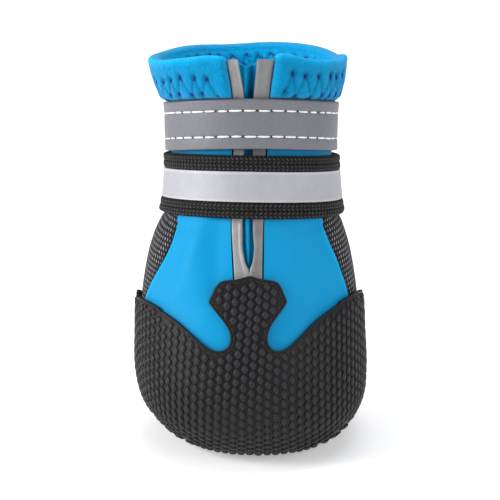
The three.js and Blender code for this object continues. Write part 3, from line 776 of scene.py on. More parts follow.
def tape_finish(name, base, turn, rows, edge_light, metallic=0.25, roughness=0.42, amount=0.03, painted_shade_right=0.0,
        pitch=0.5, patch=14.0, weave_shade=0.2):
    """Reflective tape: a fine weave, with lighter or darker lines along it, and a painted shade on the boot's
    right side where asked.
    """
    material, tree, shader = new_finish(name, roughness=roughness, metallic=metallic, specular=0.4)
    wrap = put(tree, "ShaderNodeUVMap", uv_map="Wrap").outputs[0]
    place = put(tree, "ShaderNodeTexCoord").outputs["Object"]
    turned = put(tree, "ShaderNodeMapping", {0: wrap, 2: (0.0, 0.0, turn)}).outputs[0]
    weave = use_group(tree, weave_group(), Wrap=turned, Across=pitch, Up=pitch * 0.7)
    uneven = use_group(tree, unevenness_group(), Place=place, Amount=amount, Patch=patch, Grain=0.35)
    up = put(tree, "ShaderNodeSeparateXYZ", {0: wrap}).outputs[1]
    shade = calc(tree, "MULTIPLY_ADD", weave.outputs[0], weave_shade, 1 - weave_shade / 2)
    # Painted shade on the places right of the boot's middle, for a side that faces away from the light
    right = smooth_step(tree, put(tree, "ShaderNodeSeparateXYZ", {0: place}).outputs[0], -0.5 * MM, 1.5 * MM)
    shade = calc(tree, "MULTIPLY", shade, calc(tree, "MULTIPLY_ADD", right, -painted_shade_right, 1.0))
    # Lines along the tape: lighter lines by the silver tape's edges, and on the grey strap a painted shade
    # along its stitch rows
    for row in rows:
        away = calc(tree, "ABSOLUTE", calc(tree, "SUBTRACT", up, row))
        line = smooth_step(tree, away, 0.75, 0.1)
        shade = calc(tree, "MULTIPLY", shade, calc(tree, "MULTIPLY_ADD", line, edge_light, 1.0))
    dye(tree, shader, base, uneven.outputs["Shade"], shade)
    raise_bump(tree, shader, weave.outputs[0], 0.03)
    return material


def silver_finish():
    return tape_finish("Silver tape", colours().silver, 0.7, (0.35, TAPE_WIDTH - 0.6), 0.2, roughness=0.6,
            amount=0.1, pitch=0.8, patch=4.0, weave_shade=0.3)


def piping_finish():
    # The right piping gets a painted shade
    return tape_finish("Reflective piping", colours().piping, 0.6, (), 0.0, metallic=0.2, roughness=0.5,
            amount=0.28, painted_shade_right=0.3, patch=3.5)


def grey_strap_finish():
    """Grey reflective tape with dark needle holes between the stitches of both rows."""
    rows = [share * UPPER_STRAP_WIDTH for share in STITCH_ROWS]
    # Its negative line value paints shade along the dimples of the stitch rows
    material = tape_finish("Grey strap", colours().grey_strap, 0.0, rows, -0.14, metallic=0.15,
            roughness=0.5, amount=0.13, patch=1.2)
    tree = material.node_tree
    shader = next(node for node in tree.nodes if node.type == "BSDF_PRINCIPLED")
    cloth_colour = shader.inputs["Base Color"].links[0].from_socket
    wrap = put(tree, "ShaderNodeUVMap", uv_map="Wrap").outputs[0]
    parts = put(tree, "ShaderNodeSeparateXYZ", {0: wrap})
    pitch = sizes().strap_stitch / MM
    along = calc(tree, "PINGPONG", calc(tree, "SUBTRACT", parts.outputs[0], pitch / 2), pitch / 2)
    holes = 0.0
    for row in rows:
        away = calc(tree, "SUBTRACT", parts.outputs[1], row)
        reach = calc(tree, "SQRT", calc(tree, "ADD", calc(tree, "POWER", along, 2.0),
                calc(tree, "POWER", calc(tree, "ABSOLUTE", away), 2.0)))
        holes = calc(tree, "MAXIMUM", holes, smooth_step(tree, reach, 0.62, 0.2))
    dark = tuple(value * 0.12 for value in colours().grey_strap[:3]) + (1.0,)
    feed(tree, shader.inputs["Base Color"], mix_colour(tree, holes, cloth_colour, dark))
    return material


def mesh_finish():
    """Coarse spacer mesh: light knots that lean across a dark ground."""
    material, tree, shader = new_finish("Spacer mesh", roughness=0.75, specular=0.2)
    wrap = put(tree, "ShaderNodeUVMap", uv_map="Wrap").outputs[0]
    place = put(tree, "ShaderNodeTexCoord").outputs["Object"]
    sides = put(tree, "ShaderNodeSeparateXYZ", {0: wrap}).outputs
    from_back = calc(tree, "ABSOLUTE", calc(tree, "SUBTRACT", sides[0], 30 * math.pi))
    mirrored = put(tree, "ShaderNodeCombineXYZ", {0: from_back, 1: sides[1]}).outputs[0]
    turned = put(tree, "ShaderNodeMapping", {0: mirrored, 2: (0.0, 0.0, math.radians(52))}).outputs[0]
    parts = put(tree, "ShaderNodeSeparateXYZ", {0: turned})
    row = calc(tree, "DIVIDE", parts.outputs[1], 1.1)
    shift = calc(tree, "MULTIPLY", calc(tree, "FLOOR", row), 0.5)
    along = calc(tree, "ADD", calc(tree, "DIVIDE", parts.outputs[0], 1.8), shift)
    off_along = calc(tree, "ABSOLUTE", calc(tree, "SUBTRACT", calc(tree, "FRACT", along), 0.5))
    off_row = calc(tree, "ABSOLUTE", calc(tree, "SUBTRACT", calc(tree, "FRACT", row), 0.5))
    reach = calc(tree, "SQRT", calc(tree, "ADD",
            calc(tree, "POWER", calc(tree, "DIVIDE", off_along, 0.46), 2.0),
            calc(tree, "POWER", calc(tree, "DIVIDE", off_row, 0.42), 2.0)))
    knot = smooth_step(tree, reach, 1.0, 0.25)
    uneven = use_group(tree, unevenness_group(), Place=place, Amount=0.9, Patch=1.5, Grain=0.6)
    base = mix_colour(tree, knot, colours().mesh_ground, colours().mesh_knot)
    dye(tree, shader, base, uneven.outputs["Shade"])
    raise_bump(tree, shader, knot, 0.3)
    return material


def rubber_finish():
    """Matt rubber with painted light and shade: lighter on the tread's crowns, darker in its hollows and low
    down.
    """
    material, tree, shader = new_finish("Rubber", roughness=0.5, specular=0.3)
    place = put(tree, "ShaderNodeTexCoord").outputs["Object"]
    crown = put(tree, "ShaderNodeAttribute", attribute_name="crown").outputs["Fac"]
    uneven = use_group(tree, unevenness_group(), Place=place, Amount=0.22, Patch=3.0, Grain=0.3)
    # Painted highlight on the crowns, painted shade in the hollows
    base = mix_colour(tree, smooth_step(tree, crown, 0.1, 0.95), colours().rubber_hollow_shade, colours().rubber)
    height = put(tree, "ShaderNodeSeparateXYZ", {0: place}).outputs[2]
    # Painted shade low down, where the rubber curves under towards the floor
    painted_low_shade = calc(tree, "MULTIPLY_ADD", smooth_step(tree, height, 3 * MM, 40 * MM), 0.52, 0.48)
    dye(tree, shader, base, uneven.outputs["Shade"], painted_low_shade)
    rough = calc(tree, "MULTIPLY_ADD", uneven.outputs["Grain"], 0.3, 0.36)
    feed(tree, shader.inputs["Roughness"], rough)
    raise_bump(tree, shader, uneven.outputs["Grain"], 0.05)
    return material


def thread_finish(name, base):
    material, tree, shader = new_finish(name, roughness=0.65, specular=0.2)
    place = put(tree, "ShaderNodeTexCoord").outputs["Object"]
    uneven = use_group(tree, unevenness_group(), Place=place, Amount=0.2, Patch=2.0, Grain=0.3)
    dye(tree, shader, base, uneven.outputs["Shade"])
    return material


def insole_finish():
    base = colours().insole
    return cloth("Insole cloth", base, 0.7, 0.7, 0.3, depth=0.1, shadow=0.3, amount=0.15, roughness=0.95,
            sheen=0.2)


def floor_finish():
    material, tree, shader = new_finish("Floor", roughness=0.9, specular=0.1)
    feed(tree, shader.inputs["Base Color"], colours().floor)
    shader.inputs["Emission Color"].default_value = (1.0, 1.0, 1.0, 1.0)
    shader.inputs["Emission Strength"].default_value = 0.36
    return material


def white_thread():
    return thread_finish("White thread", colours().white_thread)


def blue_thread():
    return thread_finish("Blue thread", colours().blue_thread)


def dark_thread():
    return thread_finish("Dark thread", colours().dark_thread)


FINISHES = {}


def finish(maker):
    """The material that a maker function makes, made once."""
    if maker not in FINISHES:
        FINISHES[maker] = maker()
    return FINISHES[maker]


# Upper

def wall_rim(angle):
    return level_line(RIM, angle) - 1.5 - CLEARANCE


def seam_angles(z):
    """Angles of the right and left seams between front panel and mesh."""
    both = np.radians(read_rows(SEAM, (np.asarray(z, float) - LAST_BOTTOM) / INSTEP_HEIGHT))
    return both[..., 1], 2 * math.pi - both[..., 0]


def round_reach(angle, z):
    """How far a point of the last moves for a turn of one radian."""
    step = last_point(angle + 0.005, z) - last_point(angle - 0.005, z)
    return np.linalg.norm(step, axis=-1) / 0.01


def fold(x, z, start, end, width, depth):
    """A soft ridge, or a trough where the depth is negative, along a line on the front."""
    start, end = np.asarray(start, float), np.asarray(end, float)
    line = end - start
    part = ((x - start[0]) * line[0] + (z - start[1]) * line[1]) / (line @ line)
    near = np.clip(part, 0, 1)
    away = np.hypot(x - start[0] - near * line[0], z - start[1] - near * line[1])
    fade = smooth(part, -0.25, 0.2) * (1 - smooth(part, 0.8, 1.25))
    return depth * fade * np.exp(-0.5 * (away / width) ** 2)


def shell_folds(angle, z):
    """Folds of the front panels, given one by one, and the pinch of the straps."""
    x = last_point(angle, z)[..., 0]
    front = smooth(np.cos(angle), -0.2, 0.3)
    depth = sizes().crease_depth / MM
    relief = fold(x, z, (-14.0, 79.0), (-17.0, 50.0), 2.7, 2.4 * depth)
    relief += fold(x, z, (-14.5, 68.0), (-22.0, 49.0), 1.8, 1.5 * depth)
    relief += fold(x, z, (-9.0, 76.0), (-10.5, 52.0), 1.6, -0.7 * depth)
    relief += fold(x, z, (-21.0, 66.0), (-25.0, 50.0), 2.0, -0.45 * depth)
    relief += fold(x, z, (12.0, 76.0), (13.5, 58.0), 3.0, 0.5 * depth)
    relief += fold(x, z, (17.5, 66.0), (22.5, 52.0), 3.0, -0.35 * depth)
    relief += fold(x, z, (-12.0, 45.0), (-20.0, 38.0), 2.2, 0.35 * depth)
    relief += fold(x, z, (12.0, 44.0), (19.0, 38.0), 2.2, 0.3 * depth)
    relief = relief * front + 0.1 * ripple(angle * 30, z, 4, 7.0)
    for line, width in ((LOWER_STRAP_LINE, LOWER_STRAP_WIDTH), (UPPER_STRAP_LINE, UPPER_STRAP_WIDTH)):
        away = np.abs(z - level_line(line, angle)) - width * BAND_HEIGHT_SHARE / 2
        relief += 0.22 * np.exp(-0.5 * ((away - 1.2) / 0.9) ** 2) - 0.12 * (1 - smooth(away, -1.5, 0.3))
    return relief


def seam_relief(angle, z):
    """The panel's folded edge, the gap beside it and the deeper mesh."""
    right, left = seam_angles(z)
    reach = round_reach(angle, z)
    inside = np.minimum(angle - right, left - angle) * reach
    panel = 0.5 * np.exp(-0.5 * ((inside + 0.7) / 0.34) ** 2)
    panel -= (MESH_RECESS + 0.15) * smooth(inside, -0.3, 0.0)
    mesh = -MESH_RECESS - 0.9 * (1 - smooth(inside, 0.4, 1.2)) + 0.45 * smooth(inside, 1.0, 7.0)
    top = level_line(LOWER_STRAP_LINE, angle)
    fade = 1 - smooth(z, top - 0.5, top + 0.5)
    return np.where(inside > 0, mesh, panel) * fade


def paint_light_and_shade(piece, values):
    """Stores each point's painted shade beside its finish; below nought it is a painted highlight."""
    dark = np.zeros(len(piece.data.vertices), np.float32)
    dark[:np.size(values)] = np.ravel(values)
    piece.data.attributes.new("dark", "FLOAT", "POINT").data.foreach_set("value", dark)


def painted_shade_between_straps(angle, z):
    """The painted shade in the gap between the straps, deeper under the upper one."""
    low = level_line(LOWER_STRAP_LINE, angle) + LOWER_STRAP_WIDTH * BAND_HEIGHT_SHARE / 2
    high = level_line(UPPER_STRAP_LINE, angle) - UPPER_STRAP_WIDTH * BAND_HEIGHT_SHARE / 2
    shade = 0.35 + 0.5 * smooth(z, low, high)
    return shade * smooth(z, low - 1, low) * (1 - smooth(z, high + 1, high + 2))


def walled(outer, inner, faces, zones, edge_zone, inner_zone):
    """Joins an outer and an inner sheet along their open edges into one closed wall."""
    count = len(outer)
    seen = {}
    for face in faces:
        for first, second in zip(face, face[1:] + face[:1]):
            seen[(first, second)] = True
    walls = [tuple(corner + count for corner in reversed(face)) for face in faces]
    edges = [(b, a, a + count, b + count) for a, b in seen if (b, a) not in seen]
    every_zone = list(zones) + [inner_zone] * len(walls) + [edge_zone] * len(edges)
    return np.concatenate([outer, inner]), list(faces) + walls + edges, every_zone


def build_upper():
    """One wall: panels in front, a mesh a step deeper round the sides, a lining."""
    slit_low = SLIT_BOTTOM - CLEARANCE
    low_rows = np.concatenate([np.linspace(LAST_BOTTOM, 18, 8)[:-1], np.linspace(18, slit_low, 36)])
    high_rows = np.linspace(0, 1, 54)[1:]
    panel, mesh, bridge = 40, 116, 10
    share = np.linspace(0, 1, panel + 1)
    around = (1 - np.cos(np.pi * np.linspace(0, 1, mesh + 1))) / 2
    columns = np.concatenate([1 - (1 - share) ** 1.8, 1 + around[1:], 2 + share[1:] ** 1.8])
    ahead = np.linspace(0, 1, bridge + 2)[1:-1]
    columns = np.concatenate([columns, 3 + ahead])[:, None]
    rows = len(low_rows) + len(high_rows)

    def heights(angle):
        top = slit_low + (wall_rim(angle) - slit_low) * high_rows[None, :]
        low = np.broadcast_to(low_rows[None, :], (len(columns), len(low_rows)))
        return np.concatenate([low, top[:, len(low_rows):] if top.shape[1] == rows else top], 1)

    def angles(z):
        right, left = seam_angles(z)
        start = angle_across(slit_edge(OUTER_RIGHT, z) + CLEARANCE + 0.15, z)
        end = 2 * math.pi + angle_across(-slit_edge(OUTER_LEFT, z) - CLEARANCE - 0.15, z)
        knots = [start, right, left, end, 2 * math.pi + start]
        place = np.zeros_like(z)
        for k in range(4):
            part = np.clip(columns - k, 0, 1)
            place = np.where((columns >= k) & (columns <= k + 1), knots[k] + part * (knots[k + 1] - knots[k]),
                    place)
        return place

    guess = np.broadcast_to(columns / 3 * 2 * math.pi, (len(columns), len(high_rows)))
    z = heights(guess)
    for _ in range(4):
        angle = angles(z)
        z = heights(angle[:, len(low_rows):])
    outer = off_last(angle, z, shell_folds(angle, z) + seam_relief(angle, z)).reshape(-1, 3)
    inner = off_last(angle, z, np.full_like(z, -UPPER_WALL)).reshape(-1, 3)
    wrap = np.stack([angle * 30, z], -1).reshape(-1, 2)
    top_of_mesh = level_line(LOWER_STRAP_LINE, angle)
    faces, zones = [], []
    total = len(columns)
    for i in range(total):
        for j in range(rows - 1):
            in_bridge = i >= total - bridge - 1
            if in_bridge and j >= len(low_rows) - 1:
                continue
            k = (i + 1) % total
            faces.append((i * rows + j, k * rows + j, k * rows + j + 1, i * rows + j + 1))
            in_mesh = panel <= i < panel + mesh and z[i, j] < top_of_mesh[i, j]
            zones.append(1 if in_mesh else 0)
    vertices, faces, zones = walled(outer, inner, faces, zones, 0, 2)
    materials = [finish(soft_shell_finish), finish(mesh_finish), finish(lining_finish)]
    wrap = np.concatenate([wrap, wrap])
    piece = new_piece("upper_shell", vertices, faces, materials, zones, wrap, smooth_angle=50)
    right, left = seam_angles(z)
    inside = np.minimum(angle - right, left - angle) * round_reach(angle, z)
    # Painted shadow in the gap on the mesh side of each seam and a painted highlight on the panel's folded
    # edge, weaker on the right side
    edge = 0.9 * smooth(inside, -0.2, 0.0) * (1 - smooth(inside, 1.6, 3.2))
    edge = edge - (0.75 - 0.35 * (angle < math.pi)) * np.exp(-((inside + 0.8) / 0.5) ** 2)
    # Painted shade between the straps, and the seam's painted shadow and highlight below the mesh's top
    paint_light_and_shade(piece, painted_shade_between_straps(angle, z) + edge * (z < top_of_mesh))
    return finish_piece(piece, "soft_shell", "upper")


# Rubber sole and toe cap

def carve(piece, other, operation):
    """Applies a boolean with another closed mesh, which is then removed."""
    cut = piece.modifiers.new("Cut", "BOOLEAN")
    cut.object = other
    cut.operation = operation
    cut.solver = "MANIFOLD"
    as_plain_mesh(piece)
    bpy.data.objects.remove(other)
    return piece


def stacked(name, loops, materials=()):
    return sweep_piece(name, np.stack(loops), materials)


def prism(name, outline, depth_axis, half_depth):
    """A straight solid through an outline given in space."""
    outline = np.asarray(outline, float)
    step = np.asarray(depth_axis, float) * half_depth
    count = len(outline)
    vertices = np.concatenate([outline - step, outline + step])
    sides = [(i, (i + 1) % count, count + (i + 1) % count, count + i) for i in range(count)]
    ends = [tuple(range(count - 1, -1, -1)), tuple(range(count, 2 * count))]
    return new_piece(name, vertices, sides + ends, ())


def block(name, low, high):
    x0, y0, z0 = low
    x1, y1, z1 = high
    outline = [(x0, y0, 0), (x1, y0, 0), (x1, y1, 0), (x0, y1, 0)]
    piece = prism(name, outline, (0, 0, 1), (z1 - z0) / 2)
    return shifted(piece, (z0 + z1) / 2)


def shifted(piece, rise):
    for vertex in piece.data.vertices:
        vertex.co.z += rise * MM
    return piece


TREAD_SINK = 0.3
FLOOR_GAP = 0.42


def rubber_body():
    """The rubber's shell, cut to the cap's and the side's edge."""
    turn = np.linspace(0, 2 * math.pi, 220, endpoint=False)
    shares = np.concatenate([[0.0], np.linspace(0.017, 0.2, 14), np.linspace(0.22, 1.14, 40)])
    outside, inside = [], []
    for share in shares:
        z = LAST_BOTTOM + share * INSTEP_HEIGHT
        loop = rubber_point(turn, z, -TREAD_SINK)
        outside.append(loop)
        inside.append(off_last(turn, z, CLEARANCE))
    outside[0][:, 2] = FLOOR_GAP
    inside[0][:, 2] = SOLE_THICKNESS
    above = LAST_BOTTOM + 1.25 * INSTEP_HEIGHT
    inside.append(off_last(turn, above, CLEARANCE))
    body = stacked("rubber_body", outside, [finish(rubber_finish)])
    hollow = stacked("hollow", inside)
    carve(body, hollow, "DIFFERENCE")
    cap = cap_outline()
    up = np.array([0.0, math.sin(CAP_TILT), math.cos(CAP_TILT)])
    out = np.array([0.0, -math.cos(CAP_TILT), math.sin(CAP_TILT)])
    places = cap[:, :1] * np.array([1.0, 0, 0]) + cap[:, 1:] * up
    low = -FOOT_LENGTH
    ends = [(cap[-1, 0], *(low * up)[1:]), (cap[0, 0], *(low * up)[1:])]
    cutter = prism("cap_cutter", np.concatenate([places, ends]), out, FOOT_LENGTH)
    reach = FOOT_LENGTH
    front = block("front", (-reach, -2 * reach, -2 * reach), (reach, SIDE_START, 2 * reach))
    carve(cutter, front, "INTERSECT")
    side = side_outline()
    line = [(0, y, z) for y, z in side]
    line = [(0, SIDE_START - 0.1, side[0, 1]), *line, (0, side[-1, 0], -reach), (0, SIDE_START - 0.1, -reach)]
    carve(cutter, prism("side_cutter", line, (1, 0, 0), BALL_WIDTH), "UNION")
    carve(body, cutter, "INTERSECT")
    carve(body, block("arch", (-reach, 1.0, -2), (reach, 10.0, 0.8)), "DIFFERENCE")
    for y in GROOVES:
        x = np.linspace(-1, 1, 13)
        half_width = BALL_WIDTH / 2 + RUBBER_WALL
        middle = y + 3.6 * x**2
        front = np.stack([x * half_width, middle - 0.9, 0 * x], 1)
        back = np.stack([x * half_width, middle + 0.9, 0 * x], 1)
        carve(body, prism("groove", np.concatenate([front, back[::-1]]), (0, 0, 1), 1.3), "DIFFERENCE")
    body.data.polygons.foreach_set("material_index", np.zeros(len(body.data.polygons), np.int32))
    body.data.polygons.foreach_set("use_smooth", np.ones(len(body.data.polygons), bool))
    body.data.set_sharp_from_angle(angle=math.radians(32))
    return body


GROOVES = [1.0 - step * 7.6 for step in (1, 2, 3)] + [10.0 + (step - 0.35) * 7.6 for step in (1, 2)]


def rubber_bead():
    """The plain rounded border along the rubber's edge."""
    points, along, out, inward = inward_frames(rubber_edge())
    width = sizes().bead_width / MM
    outline = ((-0.02, -1.5), (-0.06, -0.9), (-0.06, -0.5), (0.02, -0.28), (0.16, -0.18), (0.4, -0.12),
            (0.7, -0.14), (0.92, -0.22), (1.0, -0.34), (1.0, -1.2))
    rings = [points + a * width * inward + b * out for a, b in outline]
    return sweep_piece("rubber_edge_bead", np.stack(rings, 1), [finish(rubber_finish)], joined=True,
            smooth_angle=60)


def set_crown(piece, value):
    """How far the rubber's colour goes from the painted shade of its hollows to the painted highlight of its
    raised places.
    """
    layer = piece.data.attributes.new("crown", "FLOAT", "POINT")
    layer.data.foreach_set("value", np.full(len(piece.data.vertices), value, np.float32))


def build_rubber():
    body = rubber_body()
    # The body and the bead sit low, in the hollows' painted shade
    set_crown(body, 0.18)
    finish_piece(body, "rubber", "outsole")
    bead = rubber_bead()
    set_crown(bead, 0.25)
    finish_piece(bead, "rubber")
    return body


# Repeated pieces

def node_modifier(piece, tree, values):
    """Adds a tree with its inputs set by identifier, and makes the mesh plain."""
    modifier = piece.modifiers.new("Repeat", "NODES")
    modifier.node_group = tree
    for item in tree.interface.items_tree:
        if item.item_type == "SOCKET" and item.in_out == "INPUT" and item.name in values:
            modifier[item.identifier] = values[item.name]
    return as_plain_mesh(piece)


def guide_points(name, places, along, out, fit):
    """Places that carry each item's direction, way out of the surface and size."""
    mesh = bpy.data.meshes.new(name)
    mesh.from_pydata((np.asarray(places) * MM).tolist(), [], [])
    for label, values in (("along", along), ("out", out), ("fit", fit)):
        layer = mesh.attributes.new(label, "FLOAT_VECTOR", "POINT")
        layer.data.foreach_set("vector", np.asarray(values, np.float32).ravel())
    piece = bpy.data.objects.new(name, mesh)
    bpy.context.scene.collection.objects.link(piece)
    return piece


def vector_attribute(tree, name):
    return put(tree, "GeometryNodeInputNamedAttribute", {"Name": name}, data_type="FLOAT_VECTOR").outputs[0]


def place_on_guides(tree, entry, leave, item):
    """Sets an item on each guide point, a little uneven."""
    upright = put(tree, "FunctionNodeAlignRotationToVector", {"Vector": vector_attribute(tree, "out")},
            axis="Z")
    turned = put(tree, "FunctionNodeAlignRotationToVector",
            {"Rotation": upright.outputs[0], "Vector": vector_attribute(tree, "along")},
            axis="X", pivot_axis="Z")
    low = calc(tree, "SUBTRACT", 1.0, entry.outputs["Unevenness"])
    high = calc(tree, "ADD", 1.0, entry.outputs["Unevenness"])
    spread = put(tree, "FunctionNodeRandomValue", {}, data_type="FLOAT_VECTOR")
    for number, value in ((0, low), (1, high)):
        feed(tree, spread.inputs[number], value)
    feed(tree, spread.inputs["Seed"], entry.outputs["Seed"])
    scale = put(tree, "ShaderNodeVectorMath", {0: vector_attribute(tree, "fit"), 1: spread.outputs[0]},
            operation="MULTIPLY")
    placed = put(tree, "GeometryNodeInstanceOnPoints", {
        "Points": entry.outputs["Geometry"], "Instance": item, "Rotation": turned.outputs[0],
        "Scale": scale.outputs[0]})
    real = put(tree, "GeometryNodeRealizeInstances", {0: placed.outputs[0]})
    shaded = put(tree, "GeometryNodeSetShadeSmooth", {"Geometry": real.outputs[0]})
    painted = put(tree, "GeometryNodeSetMaterial", {
        "Geometry": shaded.outputs[0], "Material": entry.outputs["Material"]})
    feed(tree, leave.inputs[0], painted.outputs[0])


COMMON_INPUTS = (
    ("Geometry", "NodeSocketGeometry", None),
    ("Unevenness", "NodeSocketFloat", 0.05),
    ("Seed", "NodeSocketInt", 1),
    ("Material", "NodeSocketMaterial", None),
)


def pad_tree():
    """A domed, rounded diamond on each guide point, sunk at its foot."""
    name = "Boot Tread Pads"
    if name in bpy.data.node_groups:
        return bpy.data.node_groups[name]
    inputs = (*COMMON_INPUTS, ("Sink", "NodeSocketFloat", 0.6))
    tree, entry, leave = new_group("GeometryNodeTree", name, inputs, (("Geometry", "NodeSocketGeometry"),))
    circle = put(tree, "GeometryNodeMeshCircle", {"Vertices": 12, "Radius": 1.0}, fill_type="NGON")
    here = put(tree, "GeometryNodeInputPosition").outputs[0]
    parts = put(tree, "ShaderNodeSeparateXYZ", {0: here}).outputs
    sides = [calc(tree, "POWER", calc(tree, "ABSOLUTE", part), 1.3) for part in parts[:2]]
    round_up = calc(tree, "POWER", calc(tree, "ADD", *sides), -1 / 1.3)
    pull = put(tree, "ShaderNodeVectorMath", {0: here, "Scale": calc(tree, "SUBTRACT", round_up, 1.0)},
            operation="SCALE")
    drop = put(tree, "ShaderNodeCombineXYZ", {2: calc(tree, "MULTIPLY", entry.outputs["Sink"], -1.0)})
    base = put(tree, "GeometryNodeSetPosition", {"Geometry": circle.outputs[0], "Offset": put(
        tree, "ShaderNodeVectorMath", {0: pull.outputs[0], 1: drop.outputs[0]}, operation="ADD").outputs[0]})
    underside = put(tree, "GeometryNodeFlipFaces", {"Mesh": base.outputs[0]})
    shape, chosen = base.outputs[0], None
    rises = (calc(tree, "ADD", entry.outputs["Sink"], 0.4), 0.38, 0.22)
    for rise, shrink in zip(rises, (0.88, 0.74, 0.5)):
        offset = put(tree, "ShaderNodeCombineXYZ", {2: rise}).outputs[0]
        inputs = {"Mesh": shape, "Offset": offset, "Individual": False}
        if chosen is not None:
            inputs["Selection"] = chosen
        raised = put(tree, "GeometryNodeExtrudeMesh", inputs, mode="FACES")
        shape, chosen = raised.outputs[0], raised.outputs[1]
        shrunk = put(tree, "GeometryNodeScaleElements", {
            "Geometry": shape, "Selection": chosen, "Scale": shrink}, domain="FACE")
        shape = shrunk.outputs[0]
    joined = put(tree, "GeometryNodeJoinGeometry")
    tree.links.new(shape, joined.inputs[0])
    tree.links.new(underside.outputs[0], joined.inputs[0])
    closed = put(tree, "GeometryNodeMergeByDistance", {"Geometry": joined.outputs[0], "Distance": 1e-4})
    # Each point's height, which later sets its painted highlight
    rise = put(tree, "ShaderNodeSeparateXYZ", {0: here}).outputs[2]
    crown = put(tree, "GeometryNodeStoreNamedAttribute", {
        "Geometry": closed.outputs[0], "Name": "crown", "Value": calc(tree, "MAXIMUM", rise, 0.0)},
        data_type="FLOAT", domain="POINT")
    place_on_guides(tree, entry, leave, crown.outputs[0])
    return tree


def stitch_tree():
    """A short thread on each guide point that arches out of the cloth."""
    name = "Boot Stitches"
    if name in bpy.data.node_groups:
        return bpy.data.node_groups[name]
    tree, entry, leave = new_group("GeometryNodeTree", name, (
        *COMMON_INPUTS,
        ("Thread Radius", "NodeSocketFloat", 0.0002),
        ("Rise", "NodeSocketFloat", 0.0003),
    ), (("Geometry", "NodeSocketGeometry"),))
    sunk = calc(tree, "MULTIPLY", entry.outputs["Thread Radius"], -1.0)
    start = put(tree, "ShaderNodeCombineXYZ", {0: -0.5 * MM, 2: sunk}).outputs[0]
    end = put(tree, "ShaderNodeCombineXYZ", {0: 0.5 * MM, 2: sunk}).outputs[0]
    top = put(tree, "ShaderNodeCombineXYZ", {2: entry.outputs["Rise"]}).outputs[0]
    arch = put(tree, "GeometryNodeCurveQuadraticBezier", {
        "Resolution": 6, "Start": start, "Middle": top, "End": end})
    circle = put(tree, "GeometryNodeCurvePrimitiveCircle", {
        "Resolution": 7, "Radius": entry.outputs["Thread Radius"]})
    tube = put(tree, "GeometryNodeCurveToMesh", {
        "Curve": arch.outputs[0], "Profile Curve": circle.outputs[0], "Fill Caps": True})
    place_on_guides(tree, entry, leave, tube.outputs[0])
    return tree


def sew(name, places, along, out, lengths, thread, radius, slot, rise=1.4, unevenness=0.08, seed=3):
    """Stitches at places, each with its direction, way out and length."""
    lengths = np.broadcast_to(np.asarray(lengths, float), (len(places),))
    fit = np.stack([lengths, np.ones(len(places)), np.ones(len(places))], 1)
    piece = guide_points(name, places, along, out, fit)
    node_modifier(piece, stitch_tree(), {
        "Unevenness": unevenness, "Seed": seed, "Material": finish(thread),
        "Thread Radius": radius * MM, "Rise": radius * rise * MM})
    return finish_piece(piece, slot)


def stitch_run(points, out, pitch, length, start=0.0):
    """Places, directions and outward ways of stitches spaced along a line."""
    steps = np.linalg.norm(np.diff(points, axis=0), axis=1)
    along = np.concatenate([[0], np.cumsum(steps)])
    middle = np.arange(start + length / 2, along[-1] - length / 2, pitch)

    def at(value, lines):
        return np.stack([np.interp(value, along, column) for column in lines.T], 1)

    first, second = at(middle - length / 2, points), at(middle + length / 2, points)
    return at(middle, points), second - first, at(middle, out)


# The pads' rows rise less steeply on the left side: where that starts, its length and the slope taken off
LEFT_ROWS_START = 24.0
LEFT_ROWS_LENGTH = 19.6
LEFT_ROWS_SLOPE = 0.14


def tread_places():
    """Angles and heights of the pads, in columns from the toe and from the heel."""
    angles = np.radians(np.arange(-180, 180.5, 0.5))
    levels = LAST_BOTTOM + INSTEP_HEIGHT * np.linspace(0.02, 1.1, 160)
    grid = rubber_point(angles[:, None], levels[None, :])
    turns = np.linalg.norm(np.diff(grid, axis=0), axis=2)
    from_toe = np.concatenate([np.zeros((1, len(levels))), np.cumsum(turns, 0)])
    from_toe -= from_toe[len(angles) // 2]
    rises = np.linalg.norm(np.diff(grid, axis=1), axis=2)
    up_way = np.concatenate([np.zeros((len(angles), 1)), np.cumsum(rises, 1)], 1)
    widest = 22.0
    up_way -= np.array([np.interp(widest, levels, row) for row in up_way])[:, None]
    middle = int(np.argmin(np.abs(levels - widest)))
    half_round = from_toe[-1, middle]
    columns = round(half_round / (sizes().pad_across / MM))
    across, up = half_round / columns, sizes().pad_up / MM
    side = columns // 2
    places, rows = [], []
    for column in range(1 - columns, columns + 1):
        for row in range(-14, 22):
            along, height = column * across, (row + 0.5 * (column % 2)) * up
            lean = 0.11 * math.exp(-((along + 12) / 28) ** 2)
            along, height = along + lean * height, height - lean * along
            height += LEFT_ROWS_SLOPE * min(max(-along - LEFT_ROWS_START, 0.0), LEFT_ROWS_LENGTH)
            angle, z = np.clip(along / 34, -3.1, 3.1), widest + height
            for _ in range(8):
                near = int(np.clip(np.round((angle + math.pi) / math.radians(0.5)), 0, len(angles) - 1))
                z = np.interp(height, up_way[near], levels)
                level = int(np.argmin(np.abs(levels - z)))
                way = from_toe[:, level]
                if abs(column) > side:
                    last = way[-1] if along > 0 else way[0]
                    angle = np.interp(along + last - math.copysign(half_round, along), way, angles)
                else:
                    angle = np.interp(along, way, angles)
            if up_way[near][0] - 0.3 < height < up_way[near][-1]:
                places.append((angle, z))
                rows.append(abs(column))
    order = np.argsort(rows, kind="stable")
    return np.array(places)[order], across, up


